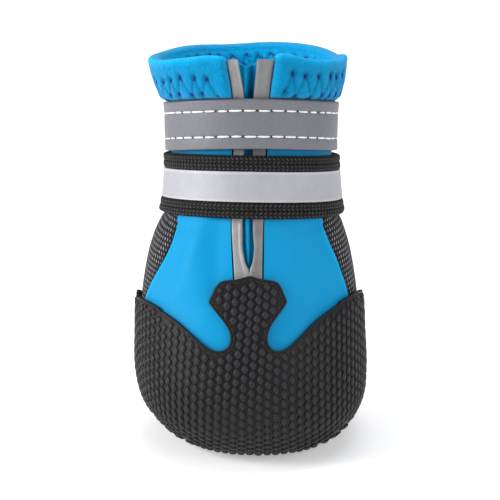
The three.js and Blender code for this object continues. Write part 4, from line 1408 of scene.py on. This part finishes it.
def build_tread():
    """Domed pads over the rubber's face, each column half a pad off the next."""
    guides, across, up = tread_places()
    places = rubber_point(guides[:, 0], guides[:, 1])
    gap = distance_to(places, rubber_point(*rubber_edge().T))
    border = sizes().bead_width / MM
    keep = inside_rubber(places) & (gap > border + 0.7) & (places[:, 2] > 0.9)
    guides, gap, places = guides[keep], gap[keep], places[keep]
    free = []
    for number, place in enumerate(places):
        if all(np.linalg.norm(place - places[other]) > 0.8 * across for other in free):
            free.append(number)
    guides, gap = guides[free], gap[free]
    angle, z = guides.T
    places = rubber_point(angle, z, -TREAD_SINK)
    out = last_normal(angle, z)
    way_up = rubber_point(angle, z + 0.05) - rubber_point(angle, z - 0.05)
    shrink = np.clip((gap - border) / (0.55 * up), 0.55, 1.0)
    left = smooth(-34 * angle, LEFT_ROWS_START - 2, LEFT_ROWS_START + 2)
    fit = np.stack([up * (0.63 - 0.11 * left) * shrink, across * (0.5 + 0.04 * left) * shrink,
            np.full(len(places), sizes().pad_height / MM)], 1)
    piece = guide_points("tread_pads", places, way_up, out, fit * MM)
    node_modifier(piece, pad_tree(), {"Unevenness": 0.04, "Seed": 11, "Material": finish(rubber_finish),
            "Sink": 0.5})
    finish_piece(piece, "rubber")
    return build_sole_tread()


def build_sole_tread():
    """The same pads on the flat under the sole, clear of its grooves and its arch."""
    turn = np.linspace(0, 2 * math.pi, 200, endpoint=False)
    rim = rubber_point(turn, LAST_BOTTOM, -TREAD_SINK)[:, :2]
    across, up = sizes().pad_across / MM, sizes().pad_up / MM
    places = []
    for column in range(-12, 13):
        for row in range(-14, 15):
            x, y = column * across, (row + 0.5 * (column % 2)) * up
            bow = 3.6 * (x / (BALL_WIDTH / 2 + RUBBER_WALL)) ** 2
            clear = all(abs(y - groove - bow) > 0.9 + 1.0 for groove in GROOVES)
            if 1.0 - 1.1 < y < 10.0 + 1.1 or not clear:
                continue
            side = np.arctan2(rim[:, 1] - y, rim[:, 0] - x)
            around = np.abs(np.diff(np.unwrap(np.append(side, side[0]))).sum())
            if around < 6 or np.hypot(rim[:, 0] - x, rim[:, 1] - y).min() < 1.3:
                continue
            places.append((x, y, FLOOR_GAP))
    count = len(places)
    fit = np.tile((up * 0.5, across * 0.5, FLOOR_GAP), (count, 1))
    piece = guide_points("sole_pads", places, np.tile((0, 1, 0), (count, 1)), np.tile((0, 0, -1), (count, 1)),
            fit * MM)
    node_modifier(piece, pad_tree(), {"Unevenness": 0.0, "Seed": 12, "Material": finish(rubber_finish),
            "Sink": 0.5})
    return finish_piece(piece, "rubber")


# Insole

def build_insole():
    """A foam sheet with a cloth face, and the step that fills the lasting edge."""
    turn = np.linspace(0, 2 * math.pi, 120, endpoint=False)

    def outline(height, inside):
        low = np.full_like(turn, LAST_BOTTOM)
        high = low + 15
        for _ in range(30):
            middle = (low + high) / 2
            below = off_last(turn, middle, inside)[:, 2] < height
            low, high = np.where(below, middle, low), np.where(below, high, middle)
        loop = off_last(turn, low, inside)
        loop[:, 2] = height
        return loop

    seat = LAST_BOTTOM + UPPER_WALL + CLEARANCE
    top = seat + 2.4
    inside = -UPPER_WALL - CLEARANCE
    edge = last_point(turn, LAST_BOTTOM)
    normal = last_normal(turn, LAST_BOTTOM + CLEARANCE)
    normal[:, 2] = 0
    step = edge - 0.9 * normal / np.linalg.norm(normal, axis=1, keepdims=True)
    step_top = step.copy()
    step_top[:, 2] = seat
    loops = [step, step_top, outline(seat, inside), outline(seat + 1.2, inside)]
    rim = outline(top - 0.5, inside)
    middle = rim.mean(0)
    loops.append(rim)
    for share, lift in ((0.985, 0.38), (0.955, 0.5), (0.9, 0.48), (0.8, 0.42), (0.65, 0.36), (0.5, 0.3),
            (0.35, 0.26), (0.2, 0.24), (0.08, 0.23)):
        loop = middle + (rim - middle) * share
        loop[:, 2] = top - 0.5 + lift + 0.06 * ripple(loop[:, 0], loop[:, 1], 8, 6.0)
        loops.append(loop)
    wrap = np.stack(loops)[:, :, :2]
    piece = sweep_piece("insole_foam", np.stack(loops), [finish(insole_finish)], wrap=wrap, smooth_angle=60)
    finish_piece(piece, "foam", "insole")
    return piece


# Throat

def build_gusset():
    """The stretch tongue behind the slit, folded down its middle, with a V in its top edge."""
    bottom = INSTEP_LEVEL - GUSSET_WIDTH / 3
    across = np.linspace(-1, 1, 81)[:, None]
    up = np.linspace(0, 1, 110)[None, :]
    x = across * GUSSET_WIDTH / 2
    top = wall_rim(0.0) - CLEARANCE - 1.8 * (1 - np.abs(across)) - 0.5 * np.exp(-((x / 1.6) ** 2))
    z = bottom + (top - bottom) * up
    line = 0.8 + 0.5 * np.sin(z / 9)
    deep = 2.4 * smooth(z, 88, 104) + 0.2
    crease = -deep * np.exp(-(np.abs(x - line) / 1.1) ** 1.5)
    wave = 0.16 * ripple(x, z, 21, 4.0)
    left, right = slit_edge(INNER_LEFT, z), slit_edge(INNER_RIGHT, z)
    half = (left + right) / 2 - 0.35
    bulge = np.exp(-(np.abs(x - (right - left) / 2 + 0.15) / np.maximum(0.75 * half, 0.1)) ** 4)
    bulge *= 1.9 * smooth(half, 0.2, 1.0) * (1 - smooth(z, 76, 82))
    wave = wave + bulge + smooth(z, 106, 111) * np.exp(-((x + 1.4) / 0.9) ** 2)
    angle = angle_across(x, z)
    outside = -UPPER_WALL - CLEARANCE - 0.05
    outer = off_last(angle, z, outside + crease + wave)
    inner = off_last(angle, z, outside + crease + wave - 1.1)
    rows = z.shape[1]
    count = outer.shape[0]
    faces = [(i * rows + j, (i + 1) * rows + j, (i + 1) * rows + j + 1, i * rows + j + 1)
            for i in range(count - 1) for j in range(rows - 1)]
    vertices, faces, zones = walled(outer.reshape(-1, 3), inner.reshape(-1, 3), faces, [0] * len(faces), 0, 0)
    wrap = np.stack([np.broadcast_to(x, z.shape), z], -1).reshape(-1, 2)
    piece = new_piece("tongue", vertices, faces, [finish(gusset_finish)], zones, np.concatenate([wrap, wrap]))
    return finish_piece(piece, "soft_shell", "gusset")


def build_piping(side):
    """Tape bound over one edge of the slit, with a rolled inner edge."""
    sign = -1 if side == "left" else 1
    columns = (OUTER_LEFT, INNER_LEFT) if side == "left" else (OUTER_RIGHT, INNER_RIGHT)
    z = np.linspace(SLIT_BOTTOM - 0.2, wall_rim(0.0), 150)
    outer = slit_edge(columns[0], z) + 0.05
    inner = slit_edge(columns[1], z) + 0.42 * np.exp(-((z - 64.5) / 3.2) ** 2)
    inner -= 0.6 * (1 - smooth(z, 58.3, 61.0))
    strap_low = level_line(LOWER_STRAP_LINE, 0.0) - LOWER_STRAP_WIDTH * BAND_HEIGHT_SHARE / 2
    strap_high = level_line(UPPER_STRAP_LINE, 0.0) + UPPER_STRAP_WIDTH * BAND_HEIGHT_SHARE / 2
    above = smooth(z, strap_high, strap_high + 3)
    below = smooth(z, INSTEP_LEVEL, INSTEP_LEVEL + 2) * (1 - smooth(z, strap_low - 3, strap_low))
    free = above + below
    # Share of the way from the outer to the inner edge, and the height off the panel
    section = ((0.0, -0.25), (0.0, 0.1), (0.04, 0.24), (0.14, 0.3), (0.34, 0.26), (0.52, 0.2), (0.6, 0.12),
            (0.66, 0.2), (0.74, 0.42), (0.86, 0.52), (0.95, 0.4), (1.0, 0.05), (1.0, -0.6), (0.96, -1.3),
            (0.86, -1.75), (0.6, -1.8), (0.3, -1.7), (0.22, -0.3))
    rings, wraps = [], []
    for share, height in section:
        across = outer + (inner - outer) * share
        lift = height if height < 0 else height * (0.35 + 0.65 * free)
        wobble = 0.1 * np.sin(z / 5.2 + share) * (height > 0)
        angle = angle_across(sign * (across + wobble), z)
        rings.append(off_last(angle, z, lift + 0.05 * ripple(across * 2, z, 31, 3.0)))
        wraps.append(np.stack([across, z], 1))
    piece = sweep_piece(f"throat_piping_{side}", np.stack(rings, 1), [finish(piping_finish)],
            wrap=np.stack(wraps, 1), smooth_angle=50)
    # Painted shade where the piping runs through the gap between the straps
    paint_light_and_shade(piece, np.repeat(1.2 * painted_shade_between_straps(0.0, z), len(section)))
    return finish_piece(piece, "piping", f"piping_{side}")


# Cuff

def cuff_angle(share, z):
    right = angle_across(slit_edge(OUTER_RIGHT, z) + CLEARANCE, z)
    left = 2 * math.pi + angle_across(-slit_edge(OUTER_LEFT, z) - CLEARANCE, z)
    return right + (left - right) * share


def cuff_place(share, height_at):
    """Angle and height of places of the cuff, whose ends lean."""
    z = height_at(cuff_angle(share, level_line(RIM, 0.0) + 0 * share))
    for _ in range(5):
        angle = cuff_angle(share, z)
        z = height_at(angle)
    return angle, z


def cuff_bottom(angle):
    return level_line(UPPER_STRAP_LINE, angle) + UPPER_STRAP_WIDTH * BAND_HEIGHT_SHARE / 2 + 0.1


def cuff_rim(angle):
    """The cuff's top edge: the rim, lifted at its front ends and right corner."""
    turned = (angle + math.pi) % (2 * math.pi) - math.pi
    lift = 0.8 * np.exp(-((turned - 0.4) / 0.16) ** 2) + 0.5 * np.exp(-((turned + 0.4) / 0.18) ** 2)
    lift = lift - 0.4 * np.exp(-((turned + 1.35) / 0.42) ** 2) - 0.5 * np.exp(-((turned - 1.9) / 0.25) ** 2)
    lift = lift + 1.1 * np.exp(-((turned - 1.5) / 0.17) ** 2) + 0.6 * np.exp(-((turned - 2.5) / 0.36) ** 2)
    lift = lift - 0.5 * np.exp(-((turned - 0.9) / 0.3) ** 2) + 0.3 * np.exp(-((turned + 2.4) / 0.4) ** 2)
    return level_line(RIM, angle) + lift - 0.3 + 0.3 * np.sin(turned * 3 + 1.0) + 0.15 * np.sin(turned * 7)


def zigzag_points(inside=False):
    """Shares round the cuff and up it of the zigzag's corners, in order."""
    total = 172.0
    half_pitch = sizes().zigzag_pitch / MM / 2
    chance = np.random.default_rng(5)
    corners = []
    for number, along in enumerate(np.arange(3.4, total - 3.0, half_pitch)):
        share = along / total
        turned = share * 2 * math.pi
        right = smooth(math.cos(turned / 2), -0.2, 0.9)
        high = (0.66 + 0.06 * right) if not inside else 0.87
        low = 0.12 if not inside else 0.5
        up = (high if number % 2 else low) + chance.uniform(-0.07, 0.07)
        corners.append((share + chance.uniform(-0.005, 0.005), up))
    return np.array(corners)


def cuff_face(share, up, lift=0.0):
    """Points of the cuff's outer face, lifted by a distance."""
    share, up = np.broadcast_arrays(np.asarray(share, float), np.asarray(up, float))
    angle, z = cuff_place(share, lambda at: cuff_bottom(at) + (cuff_rim(at) - 1.9 - cuff_bottom(at)) * up)
    puff = 0.55 + 1.75 * smooth(up, -0.05, 0.16) + 0.55 * np.sin(np.pi * np.clip(up, 0, 1))
    return off_last(angle, z, puff + lift), angle, z


def pucker(share, up, corners):
    """How far the cuff is pulled in along its zigzag."""
    depth = sizes().pucker_depth / MM
    pull = np.zeros(np.broadcast(share, up).shape)
    for (place, height), (next_place, next_height) in zip(corners[:-1], corners[1:]):
        across, rise = (share - place) * 172, (up - height) * 11
        run, climb = (next_place - place) * 172, (next_height - height) * 11
        part = np.clip((across * run + rise * climb) / (run * run + climb * climb), 0, 1)
        from_leg = np.hypot(across - part * run, rise - part * climb)
        point = np.exp(-(np.hypot(across, rise) / 1.15) ** 2)
        pull = np.maximum(pull, depth * np.maximum(point, 0.55 * np.exp(-(from_leg / 0.6) ** 2)))
    return pull


def build_cuff():
    """The padded cuff: one rolled form over the rim, pulled in at its zigzag stitches."""
    share = np.linspace(0, 1, 300)
    ease = np.linspace(0, 1, 13)[1:]
    ends = 0.009 * (1 - np.cos(ease * math.pi / 2))
    share = np.concatenate([[0.0], ends, np.linspace(0.0115, 0.9885, 300), 1 - ends[::-1], [1.0]])
    outer_ups = np.concatenate([np.linspace(0, 0.9, 22), [0.96]])
    outer_corners, inner_corners = zigzag_points(), zigzag_points(inside=True)
    _, angle, _ = cuff_face(share, 0.5)
    turned = np.abs((angle + math.pi) % (2 * math.pi) - math.pi)
    leg = smooth(turned, 0.50, 0.72)
    from_end = np.minimum(share, 1 - share) * 172
    round_end = np.sqrt(np.clip(1 - (1 - np.clip(from_end / 1.8, 0, 1)) ** 2, 0, 1))
    rings, wraps, painted_shades = [], [], []

    # Each ring carries a painted shade for its points; below nought it is a painted highlight
    def add(points, up, along, pull=0.0):
        rings.append(points)
        wraps.append(np.stack([along * 172, np.full_like(along, up)], 1))
        painted_shades.append(pull + 0 * along)

    for up in outer_ups:
        pull = pucker(share, up, outer_corners)
        lift = 0.12 * ripple(share * 172, np.full_like(share, up * 11), 14, 3.2) - pull
        lift += 0.1 * ripple(share * 172, np.full_like(share, up * 16), 19, 1.6)
        _, angle, z = cuff_face(share, up)
        puff = 0.55 + 1.75 * smooth(up, -0.05, 0.16) + 0.55 * math.sin(math.pi * up)
        distance = 0.3 + (puff + lift - 0.3) * (0.12 + 0.88 * round_end)
        # Painted shade in the zigzag's puckers, and a little over the whole outer face
        add(off_last(angle, z, distance), up * 11, share, pull + 0.2)
    # The roll over the rim and the leg inside: height below the rim, distance off the last and painted shade,
    # whose values below nought paint a highlight, brightest over the crest
    roll = ((1.1, 2.3, -0.2), (0.55, 2.15, -0.6), (0.18, 1.8, -1.0), (0.0, 1.3, -1.0), (0.06, 0.5, -0.4),
            (0.3, -0.4, -0.3), (0.7, -1.2, -0.3), (1.2, -1.8, -0.3), (1.7, -2.1, -0.4), (2.2, -2.1, -0.5),
            (2.8, -2.6, -0.6))
    for below, distance, dark in roll:
        angle, z = cuff_place(share, lambda at: cuff_rim(at) - below)
        slack = 0.12 * ripple(share * 172, np.full_like(share, below * 2), 15, 4.0)
        middle = -0.5
        spread = (distance + slack - middle) * (0.3 + 0.7 * round_end)
        drop = (1 - round_end) * (1.9 - below) * 0.8
        add(off_last(angle, z - np.maximum(drop, 0), middle + spread), 11 + 2.5 - below, share, dark)
    for part in np.linspace(0.1, 1, 16):
        below = 2.8 + part * 10.2 * leg + part * 0.8 * (1 - leg)
        angle, z = cuff_place(share, lambda at: cuff_rim(at) - below)
        up = 1 - (below - 1.9) / 11
        lift = pucker(share, up, inner_corners) * leg
        full = -2.9 - 0.6 * np.sin(np.pi * np.clip(part, 0, 1)) + lift
        thin = -2.15 - 0.25 * (1 - part)
        distance = np.where(part < 0.97, full * leg + thin * (1 - leg), -2.5 * leg - 2.12 * (1 - leg))
        middle = -1.0
        distance = middle + (distance - middle) * (0.3 + 0.7 * round_end)
        # Painted light over the inside of the cuff, less at its puckers
        add(off_last(angle, z, distance), 14 + part * 10, share, lift - 0.7)
    for part in (0.97, 0.6, 0.3, 0.0):
        below = 1.75 + part * (11.2 * leg + 1.9 * (1 - leg))
        angle, z = cuff_place(share, lambda at: cuff_rim(at) - below)
        add(off_last(angle, z, np.full_like(share, -2.08 + 0.18 * (part == 0))), 24 + part, share)
    for below, distance in ((1.45, -0.9), (1.55, 0.12)):
        angle, z = cuff_place(share, lambda at: cuff_rim(at) - below)
        add(off_last(angle, z, np.full_like(share, distance)), 25, share)
    for up in (0.7, 0.35, 0.0):
        angle, z = cuff_place(share, lambda at: cuff_bottom(at) + (cuff_rim(at) - 1.9 - cuff_bottom(at)) * up)
        add(off_last(angle, z, np.full_like(share, 0.2)), 26, share)
    piece = sweep_piece("padded_cuff", np.stack(rings, 1), [finish(cuff_finish)], wrap=np.stack(wraps, 1),
            smooth_angle=70)
    # Painted shade in the puckers and painted light on the rim's roll and inside
    paint_light_and_shade(piece, np.stack(painted_shades, 1))
    finish_piece(piece, "soft_shell", "collar_cuff")
    sew_zigzag("cuff_zigzag", outer_corners, False)
    sew_zigzag("cuff_zigzag_inside", inner_corners[4:-4], True)
    return piece


def sew_zigzag(name, corners, inside):
    """Thread at both ends of each leg; between them it sinks into the pile."""
    places, along, out, lengths = [], [], [], []
    for first, second in zip(corners[:-1], corners[1:]):
        for start, end in ((0.02, 0.24), (0.76, 0.98)):
            pair = np.array([first + (second - first) * start, first + (second - first) * end])
            if inside:
                below = 1.9 + (1 - pair[:, 1]) * 11
                angle, z = cuff_place(pair[:, 0], lambda at: cuff_rim(at) - below)
                points = off_last(angle, z, np.full(2, -3.42))
                way = -last_normal(angle, z)
            else:
                middle = pair.mean(0)
                pull = pucker(middle[0], middle[1], corners)
                points, angle, z = cuff_face(pair[:, 0], pair[:, 1], -0.75 * pull)
                way = last_normal(angle, z)
            places.append(points.mean(0))
            along.append(points[1] - points[0])
            out.append(way.mean(0))
            lengths.append(np.linalg.norm(points[1] - points[0]))
    radius = sizes().zigzag_thread / MM
    return sew(name, np.array(places), np.array(along), np.array(out), lengths, blue_thread, radius,
            "soft_shell", rise=1.6, seed=7)


# Straps

STITCH_ROWS = (0.25, 0.765)


def band_place(line, width, thickness, turn, share, distance):
    """Points of a strap: turn from its start, share across it and distance from its seat."""
    angle = math.pi - STRAP_LAP / 2 + turn
    low = level_line(line, angle) - width * BAND_HEIGHT_SHARE / 2
    z = low + width * BAND_HEIGHT_SHARE * share
    full = 2 * math.pi
    climb = (thickness + CLEARANCE) * smooth(turn, full - STRAP_LAP * 1.25, full - STRAP_LAP * 0.15)
    return off_last(angle, z, BAND_SEAT + climb + distance), angle, z


def build_band(name, line, width, thickness, turns, section, material, slot, node, scale=None):
    """Sweeps a section of shares across and distances round the shaft."""
    rings, wraps = [], []
    for share, distance in section:
        extra = scale(turns, share) if scale and distance > 0.3 else 0
        points, _, _ = band_place(line, width, thickness, turns, share, distance + extra)
        rings.append(points)
        wraps.append(np.stack([turns * 25, np.full_like(turns, share * width + (distance < 0.2) * 0.01)], 1))
    piece = sweep_piece(name, np.stack(rings, 1), [material], wrap=np.stack(wraps, 1), smooth_angle=45)
    return finish_piece(piece, slot, node)


def black_rib(x):
    """Height of the webbing's face at a distance from its edge."""
    rib = 0.34 * np.sqrt(np.abs(np.sin(np.pi * np.clip(x, 0, 5) / 2.45)))
    edge = np.sqrt(np.clip(1 - (1 - np.clip(x / 0.55, 0, 1)) ** 2, 0, 1))
    return 0.55 + (LOWER_STRAP_THICKNESS - 0.45) * edge + rib * edge


def build_lower_strap():
    """Black webbing with two ribs on each side of a shallow channel."""
    half = [0, 0.1, 0.2, 0.4, 0.7, 1.05, 1.4, 1.8, 2.15, 2.35, 2.45, 2.55, 2.75, 3.1, 3.5, 3.9, 4.3, 4.6, 4.8]
    low = [(x / LOWER_STRAP_WIDTH, float(black_rib(np.array(x)))) for x in half]
    high = [(1 - share, distance) for share, distance in reversed(low)]
    floor = LOWER_STRAP_THICKNESS - TAPE_SINK
    channel = [(0.252, floor), (0.35, floor), (0.5, floor), (0.65, floor), (0.748, floor)]
    back = [(1.0, 0.2), (0.98, -0.1), (0.9, -0.22), (0.5, -0.22), (0.1, -0.22), (0.02, -0.1), (0.0, 0.2)]
    turns = np.linspace(0, 2 * math.pi + STRAP_LAP, 190)
    band = build_band("strap_webbing", LOWER_STRAP_LINE, LOWER_STRAP_WIDTH, LOWER_STRAP_THICKNESS, turns,
            low + channel + high + back, finish(webbing_finish), "webbing", "strap_lower")
    share = np.linspace(0.256, 0.744, 13)
    seat = floor + 0.05
    face = [(value, seat + 0.55 + 0.04 * math.cos((value - 0.5) * 4)) for value in share]
    face[0] = (share[0], seat + 0.36)
    face.insert(1, (share[0] + 0.006, seat + 0.55))
    face[-1] = (share[-1], seat + 0.36)
    face.insert(-1, (share[-1] - 0.006, seat + 0.55))
    section = face + [(share[-1], seat), (0.5, seat), (share[0], seat)]
    first, last = STRAP_LAP + 0.08, 2 * math.pi + STRAP_LAP - 0.04
    rings, wraps = [], []
    turns = np.linspace(first, last, 180)
    for value, distance in section:
        rings.append(band_place(LOWER_STRAP_LINE, LOWER_STRAP_WIDTH, LOWER_STRAP_THICKNESS, turns, value,
                distance)[0])
        wraps.append(np.stack([turns * 25, np.full_like(turns, (value - 0.25) * LOWER_STRAP_WIDTH)], 1))
    tape = sweep_piece("strap_silver_tape", np.stack(rings, 1), [finish(silver_finish)],
            wrap=np.stack(wraps, 1), smooth_angle=45)
    finish_piece(tape, "silver_tape", "strap_lower_tape")
    return band


def stitch_turns():
    """Turns of the upper strap's stitches, one pitch apart."""
    pitch = sizes().strap_stitch / MM / 25
    return np.arange(pitch, 2 * math.pi + STRAP_LAP - pitch / 2, pitch)


def build_upper_strap():
    """Grey tape with two sewn rows, each drawn in a little by its stitches."""
    pitch = sizes().strap_stitch / MM / 25

    def drawn_in(turns, share):
        row = max(math.exp(-((share - place) * UPPER_STRAP_WIDTH / 0.75) ** 2) for place in STITCH_ROWS)
        swell = 0.05 * ripple(turns * 25, np.full_like(turns, share * 16), 17, 6.0)
        return swell - row * (0.16 + 0.12 * np.cos(2 * np.pi * (turns / pitch - 0.5)))

    rows = []
    for place in STITCH_ROWS:
        rows += [place + offset / UPPER_STRAP_WIDTH for offset in (-1.3, -0.8, -0.4, 0.0, 0.4, 0.8, 1.3)]
    shares = sorted([0.0, 0.006, 0.02, 0.05, 0.11, 0.42, 0.5, 0.58, 0.9, 0.95, 0.98, 0.994, 1.0] + rows)
    section = []
    for share in shares:
        x = min(share, 1 - share) * UPPER_STRAP_WIDTH
        edge = math.sqrt(max(0, 1 - (1 - min(x / 0.4, 1)) ** 2))
        section.append((share, 0.85 + 0.55 * edge))
    section += [(1.0, 0.3), (0.99, -0.05), (0.9, -0.2), (0.5, -0.2), (0.1, -0.2), (0.01, -0.05), (0.0, 0.3)]
    turns = np.linspace(0, 2 * math.pi + STRAP_LAP, 300)
    strap = build_band("strap_grey", UPPER_STRAP_LINE, UPPER_STRAP_WIDTH, UPPER_STRAP_THICKNESS, turns,
            section, finish(grey_strap_finish), "grey_strap", "strap_upper", drawn_in)
    chance = np.random.default_rng(9)
    turns = stitch_turns()
    places, along, out, lengths = [], [], [], []
    for share in STITCH_ROWS:
        for turn in turns:
            shift = chance.uniform(-0.006, 0.006)
            pair = np.array([turn + shift - 0.01, turn + shift + 0.01])
            points, angle, z = band_place(UPPER_STRAP_LINE, UPPER_STRAP_WIDTH, UPPER_STRAP_THICKNESS, pair,
                    share + chance.uniform(-0.004, 0.004), 1.24)
            places.append(points.mean(0))
            along.append(points[1] - points[0])
            out.append(last_normal(angle, z).mean(0))
            lengths.append(sizes().strap_stitch_length / MM * chance.uniform(0.75, 1.12))
    sew("strap_running_stitches", np.array(places), np.array(along), np.array(out), lengths, white_thread,
        sizes().strap_thread / MM, "grey_strap", rise=1.1, unevenness=0.1, seed=13)
    return strap


def sew_strap_ends():
    """Two rows of stitches across the free end of each strap, at the back, that hold its hem."""
    ends = (
        ("lower_strap_hem", LOWER_STRAP_LINE, LOWER_STRAP_WIDTH, LOWER_STRAP_THICKNESS, 0.06, 0.94,
         LOWER_STRAP_THICKNESS + 0.35, dark_thread, "webbing"),
        ("upper_strap_hem", UPPER_STRAP_LINE, UPPER_STRAP_WIDTH, UPPER_STRAP_THICKNESS, 0.12, 0.88,
         UPPER_STRAP_THICKNESS + 0.02, white_thread, "grey_strap"),
    )
    for name, line, width, thickness, low, high, distance, thread, slot in ends:
        last = 2 * math.pi + STRAP_LAP
        places, along, out = [], [], []
        for near in (0.06, 0.24):
            share = np.linspace(low, high, 40)
            points, angle, z = band_place(line, width, thickness, np.full_like(share, last - near), share,
                    distance)
            run = stitch_run(points, last_normal(angle, z), 1.9, 1.5)
            for store, values in zip((places, along, out), run):
                store.append(values)
        sew(name, np.concatenate(places), np.concatenate(along), np.concatenate(out), 1.5, thread, 0.16, slot)


def sew_rubber_edge():
    """The row of stitches just inside the rubber's border."""
    edge = rubber_edge()
    points, _, out, inward = inward_frames(edge)
    offset = sizes().bead_width / MM + 0.35
    line = points + offset * inward - 0.2 * out
    clear = distance_to(line, points) > offset * 0.9
    shown = clear & (np.abs(edge[:, 0]) < math.pi - 0.06)
    runs = np.split(np.arange(len(line)), np.flatnonzero(~shown))
    places, along, ways = [], [], []
    pitch = sizes().rubber_stitch / MM
    for run in runs:
        run = run[shown[run]]
        if len(run) * 0.5 < pitch * 1.5:
            continue
        found = stitch_run(line[run], out[run], pitch, pitch * 0.55)
        for store, values in zip((places, along, ways), found):
            store.append(values)
    return sew("rubber_edge_stitches", np.concatenate(places), np.concatenate(along), np.concatenate(ways),
            pitch * 0.55, dark_thread, 0.2, "rubber")


# Stage

def build_floor():
    side = 3000.0
    piece = new_piece("floor", [(-side, -side, -1), (side, -side, -1), (side, side, -1), (-side, side, -1),
            (-side, -side, 0), (side, -side, 0), (side, side, 0), (-side, side, 0)],
            [(3, 2, 1, 0), (4, 5, 6, 7), (0, 1, 5, 4), (1, 2, 6, 5), (2, 3, 7, 6), (3, 0, 4, 7)],
            [finish(floor_finish)])
    return piece


def add_light(name, place, aim, width, power):
    light = bpy.data.lights.new(name, "AREA")
    light.size = width
    light.energy = power
    lamp = bpy.data.objects.new(name, light)
    lamp.location = place
    lamp.rotation_euler = (Vector(aim) - Vector(place)).to_track_quat("-Z", "Y").to_euler()
    bpy.context.scene.collection.objects.link(lamp)
    return lamp


def build_stage():
    """Pale floor, soft studio light and a camera at the photograph's angle."""
    build_floor()
    scene = bpy.context.scene
    scene.view_settings.view_transform = "Standard"
    world = bpy.data.worlds.new("Studio")
    world.use_nodes = True
    world.node_tree.nodes["Background"].inputs[0].default_value = (0.93, 0.95, 1.0, 1.0)
    world.node_tree.nodes["Background"].inputs[1].default_value = 0.4
    scene.world = world
    middle = (0.0, 0.0, 0.06)
    add_light("key", (-1.0, -0.3, 0.5), middle, 0.5, 11.0)
    add_light("fill", (0.8, -0.7, 0.4), middle, 0.8, 4.0)
    add_light("top", (0.1, 0.25, 1.1), middle, 0.9, 5.4)
    camera = bpy.data.cameras.new("camera")
    camera.sensor_width = 36
    camera.lens = 163.6
    camera.clip_start = 0.01
    view = bpy.data.objects.new("camera", camera)
    tilt, distance = math.radians(16), 0.7
    aim = Vector((0.0, 0.004, 0.057))
    view.location = aim + distance * Vector((0, -math.cos(tilt), math.sin(tilt)))
    view.rotation_euler = (aim - view.location).to_track_quat("-Z", "Y").to_euler()
    scene.collection.objects.link(view)
    scene.camera = view


# Operators

class BuildStep:
    bl_options = {"REGISTER", "UNDO"}

    def execute(self, context):
        self.build()
        return {"FINISHED"}


class DOGBOOT_OT_stage(BuildStep, bpy.types.Operator):
    """Adds the floor, the lights and the camera"""
    bl_idname = "dog_boot.stage"
    bl_label = "Stage"

    def build(self):
        build_stage()


class DOGBOOT_OT_upper(BuildStep, bpy.types.Operator):
    """Builds the soft-shell upper with its mesh sides"""
    bl_idname = "dog_boot.upper"
    bl_label = "Upper"

    def build(self):
        build_upper()


class DOGBOOT_OT_rubber(BuildStep, bpy.types.Operator):
    """Builds the rubber sole and toe cap, their border and their row of stitches"""
    bl_idname = "dog_boot.rubber"
    bl_label = "Rubber Sole"

    def build(self):
        build_rubber()
        sew_rubber_edge()


class DOGBOOT_OT_tread(BuildStep, bpy.types.Operator):
    """Sets the tread pads on the rubber's face and under the sole"""
    bl_idname = "dog_boot.tread"
    bl_label = "Tread Pads"

    def build(self):
        build_tread()


class DOGBOOT_OT_insole(BuildStep, bpy.types.Operator):
    """Builds the foam insole"""
    bl_idname = "dog_boot.insole"
    bl_label = "Insole"

    def build(self):
        build_insole()


class DOGBOOT_OT_throat(BuildStep, bpy.types.Operator):
    """Builds the tongue behind the slit and the piping on the slit's two edges"""
    bl_idname = "dog_boot.throat"
    bl_label = "Tongue and Piping"

    def build(self):
        build_gusset()
        build_piping("left")
        build_piping("right")


class DOGBOOT_OT_cuff(BuildStep, bpy.types.Operator):
    """Builds the padded cuff with its zigzag stitches"""
    bl_idname = "dog_boot.cuff"
    bl_label = "Cuff"

    def build(self):
        build_cuff()


class DOGBOOT_OT_straps(BuildStep, bpy.types.Operator):
    """Builds both straps, the silver tape and their stitches"""
    bl_idname = "dog_boot.straps"
    bl_label = "Straps"

    def build(self):
        build_lower_strap()
        build_upper_strap()
        sew_strap_ends()


STEPS = (DOGBOOT_OT_stage, DOGBOOT_OT_upper, DOGBOOT_OT_rubber, DOGBOOT_OT_tread, DOGBOOT_OT_insole,
        DOGBOOT_OT_throat, DOGBOOT_OT_cuff, DOGBOOT_OT_straps)


class DOGBOOT_PT_panel(bpy.types.Panel):
    """Sizes, colours and build steps of the dog boot"""
    bl_idname = "DOGBOOT_PT_panel"
    bl_label = "Dog Boot"
    bl_space_type = "VIEW_3D"
    bl_region_type = "UI"
    bl_category = "Dog Boot"

    def draw(self, context):
        scene = context.scene
        for group in (scene.dog_boot_sizes, scene.dog_boot_colours):
            box = self.layout.box()
            for name in group.__annotations__:
                box.prop(group, name)
        for step in STEPS:
            self.layout.operator(step.bl_idname)


CLASSES = (DogBootSizes, DogBootColours, *STEPS, DOGBOOT_PT_panel)


def register():
    for cls in CLASSES:
        bpy.utils.register_class(cls)
    bpy.types.Scene.dog_boot_sizes = bpy.props.PointerProperty(type=DogBootSizes)
    bpy.types.Scene.dog_boot_colours = bpy.props.PointerProperty(type=DogBootColours)


def unregister():
    del bpy.types.Scene.dog_boot_colours
    del bpy.types.Scene.dog_boot_sizes
    for cls in reversed(CLASSES):
        bpy.utils.unregister_class(cls)


def main():
    """Registers the boot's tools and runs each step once."""
    register()
    for step in STEPS:
        group, name = step.bl_idname.split(".")
        getattr(getattr(bpy.ops, group), name)()


if __name__ == "__main__":
    main()
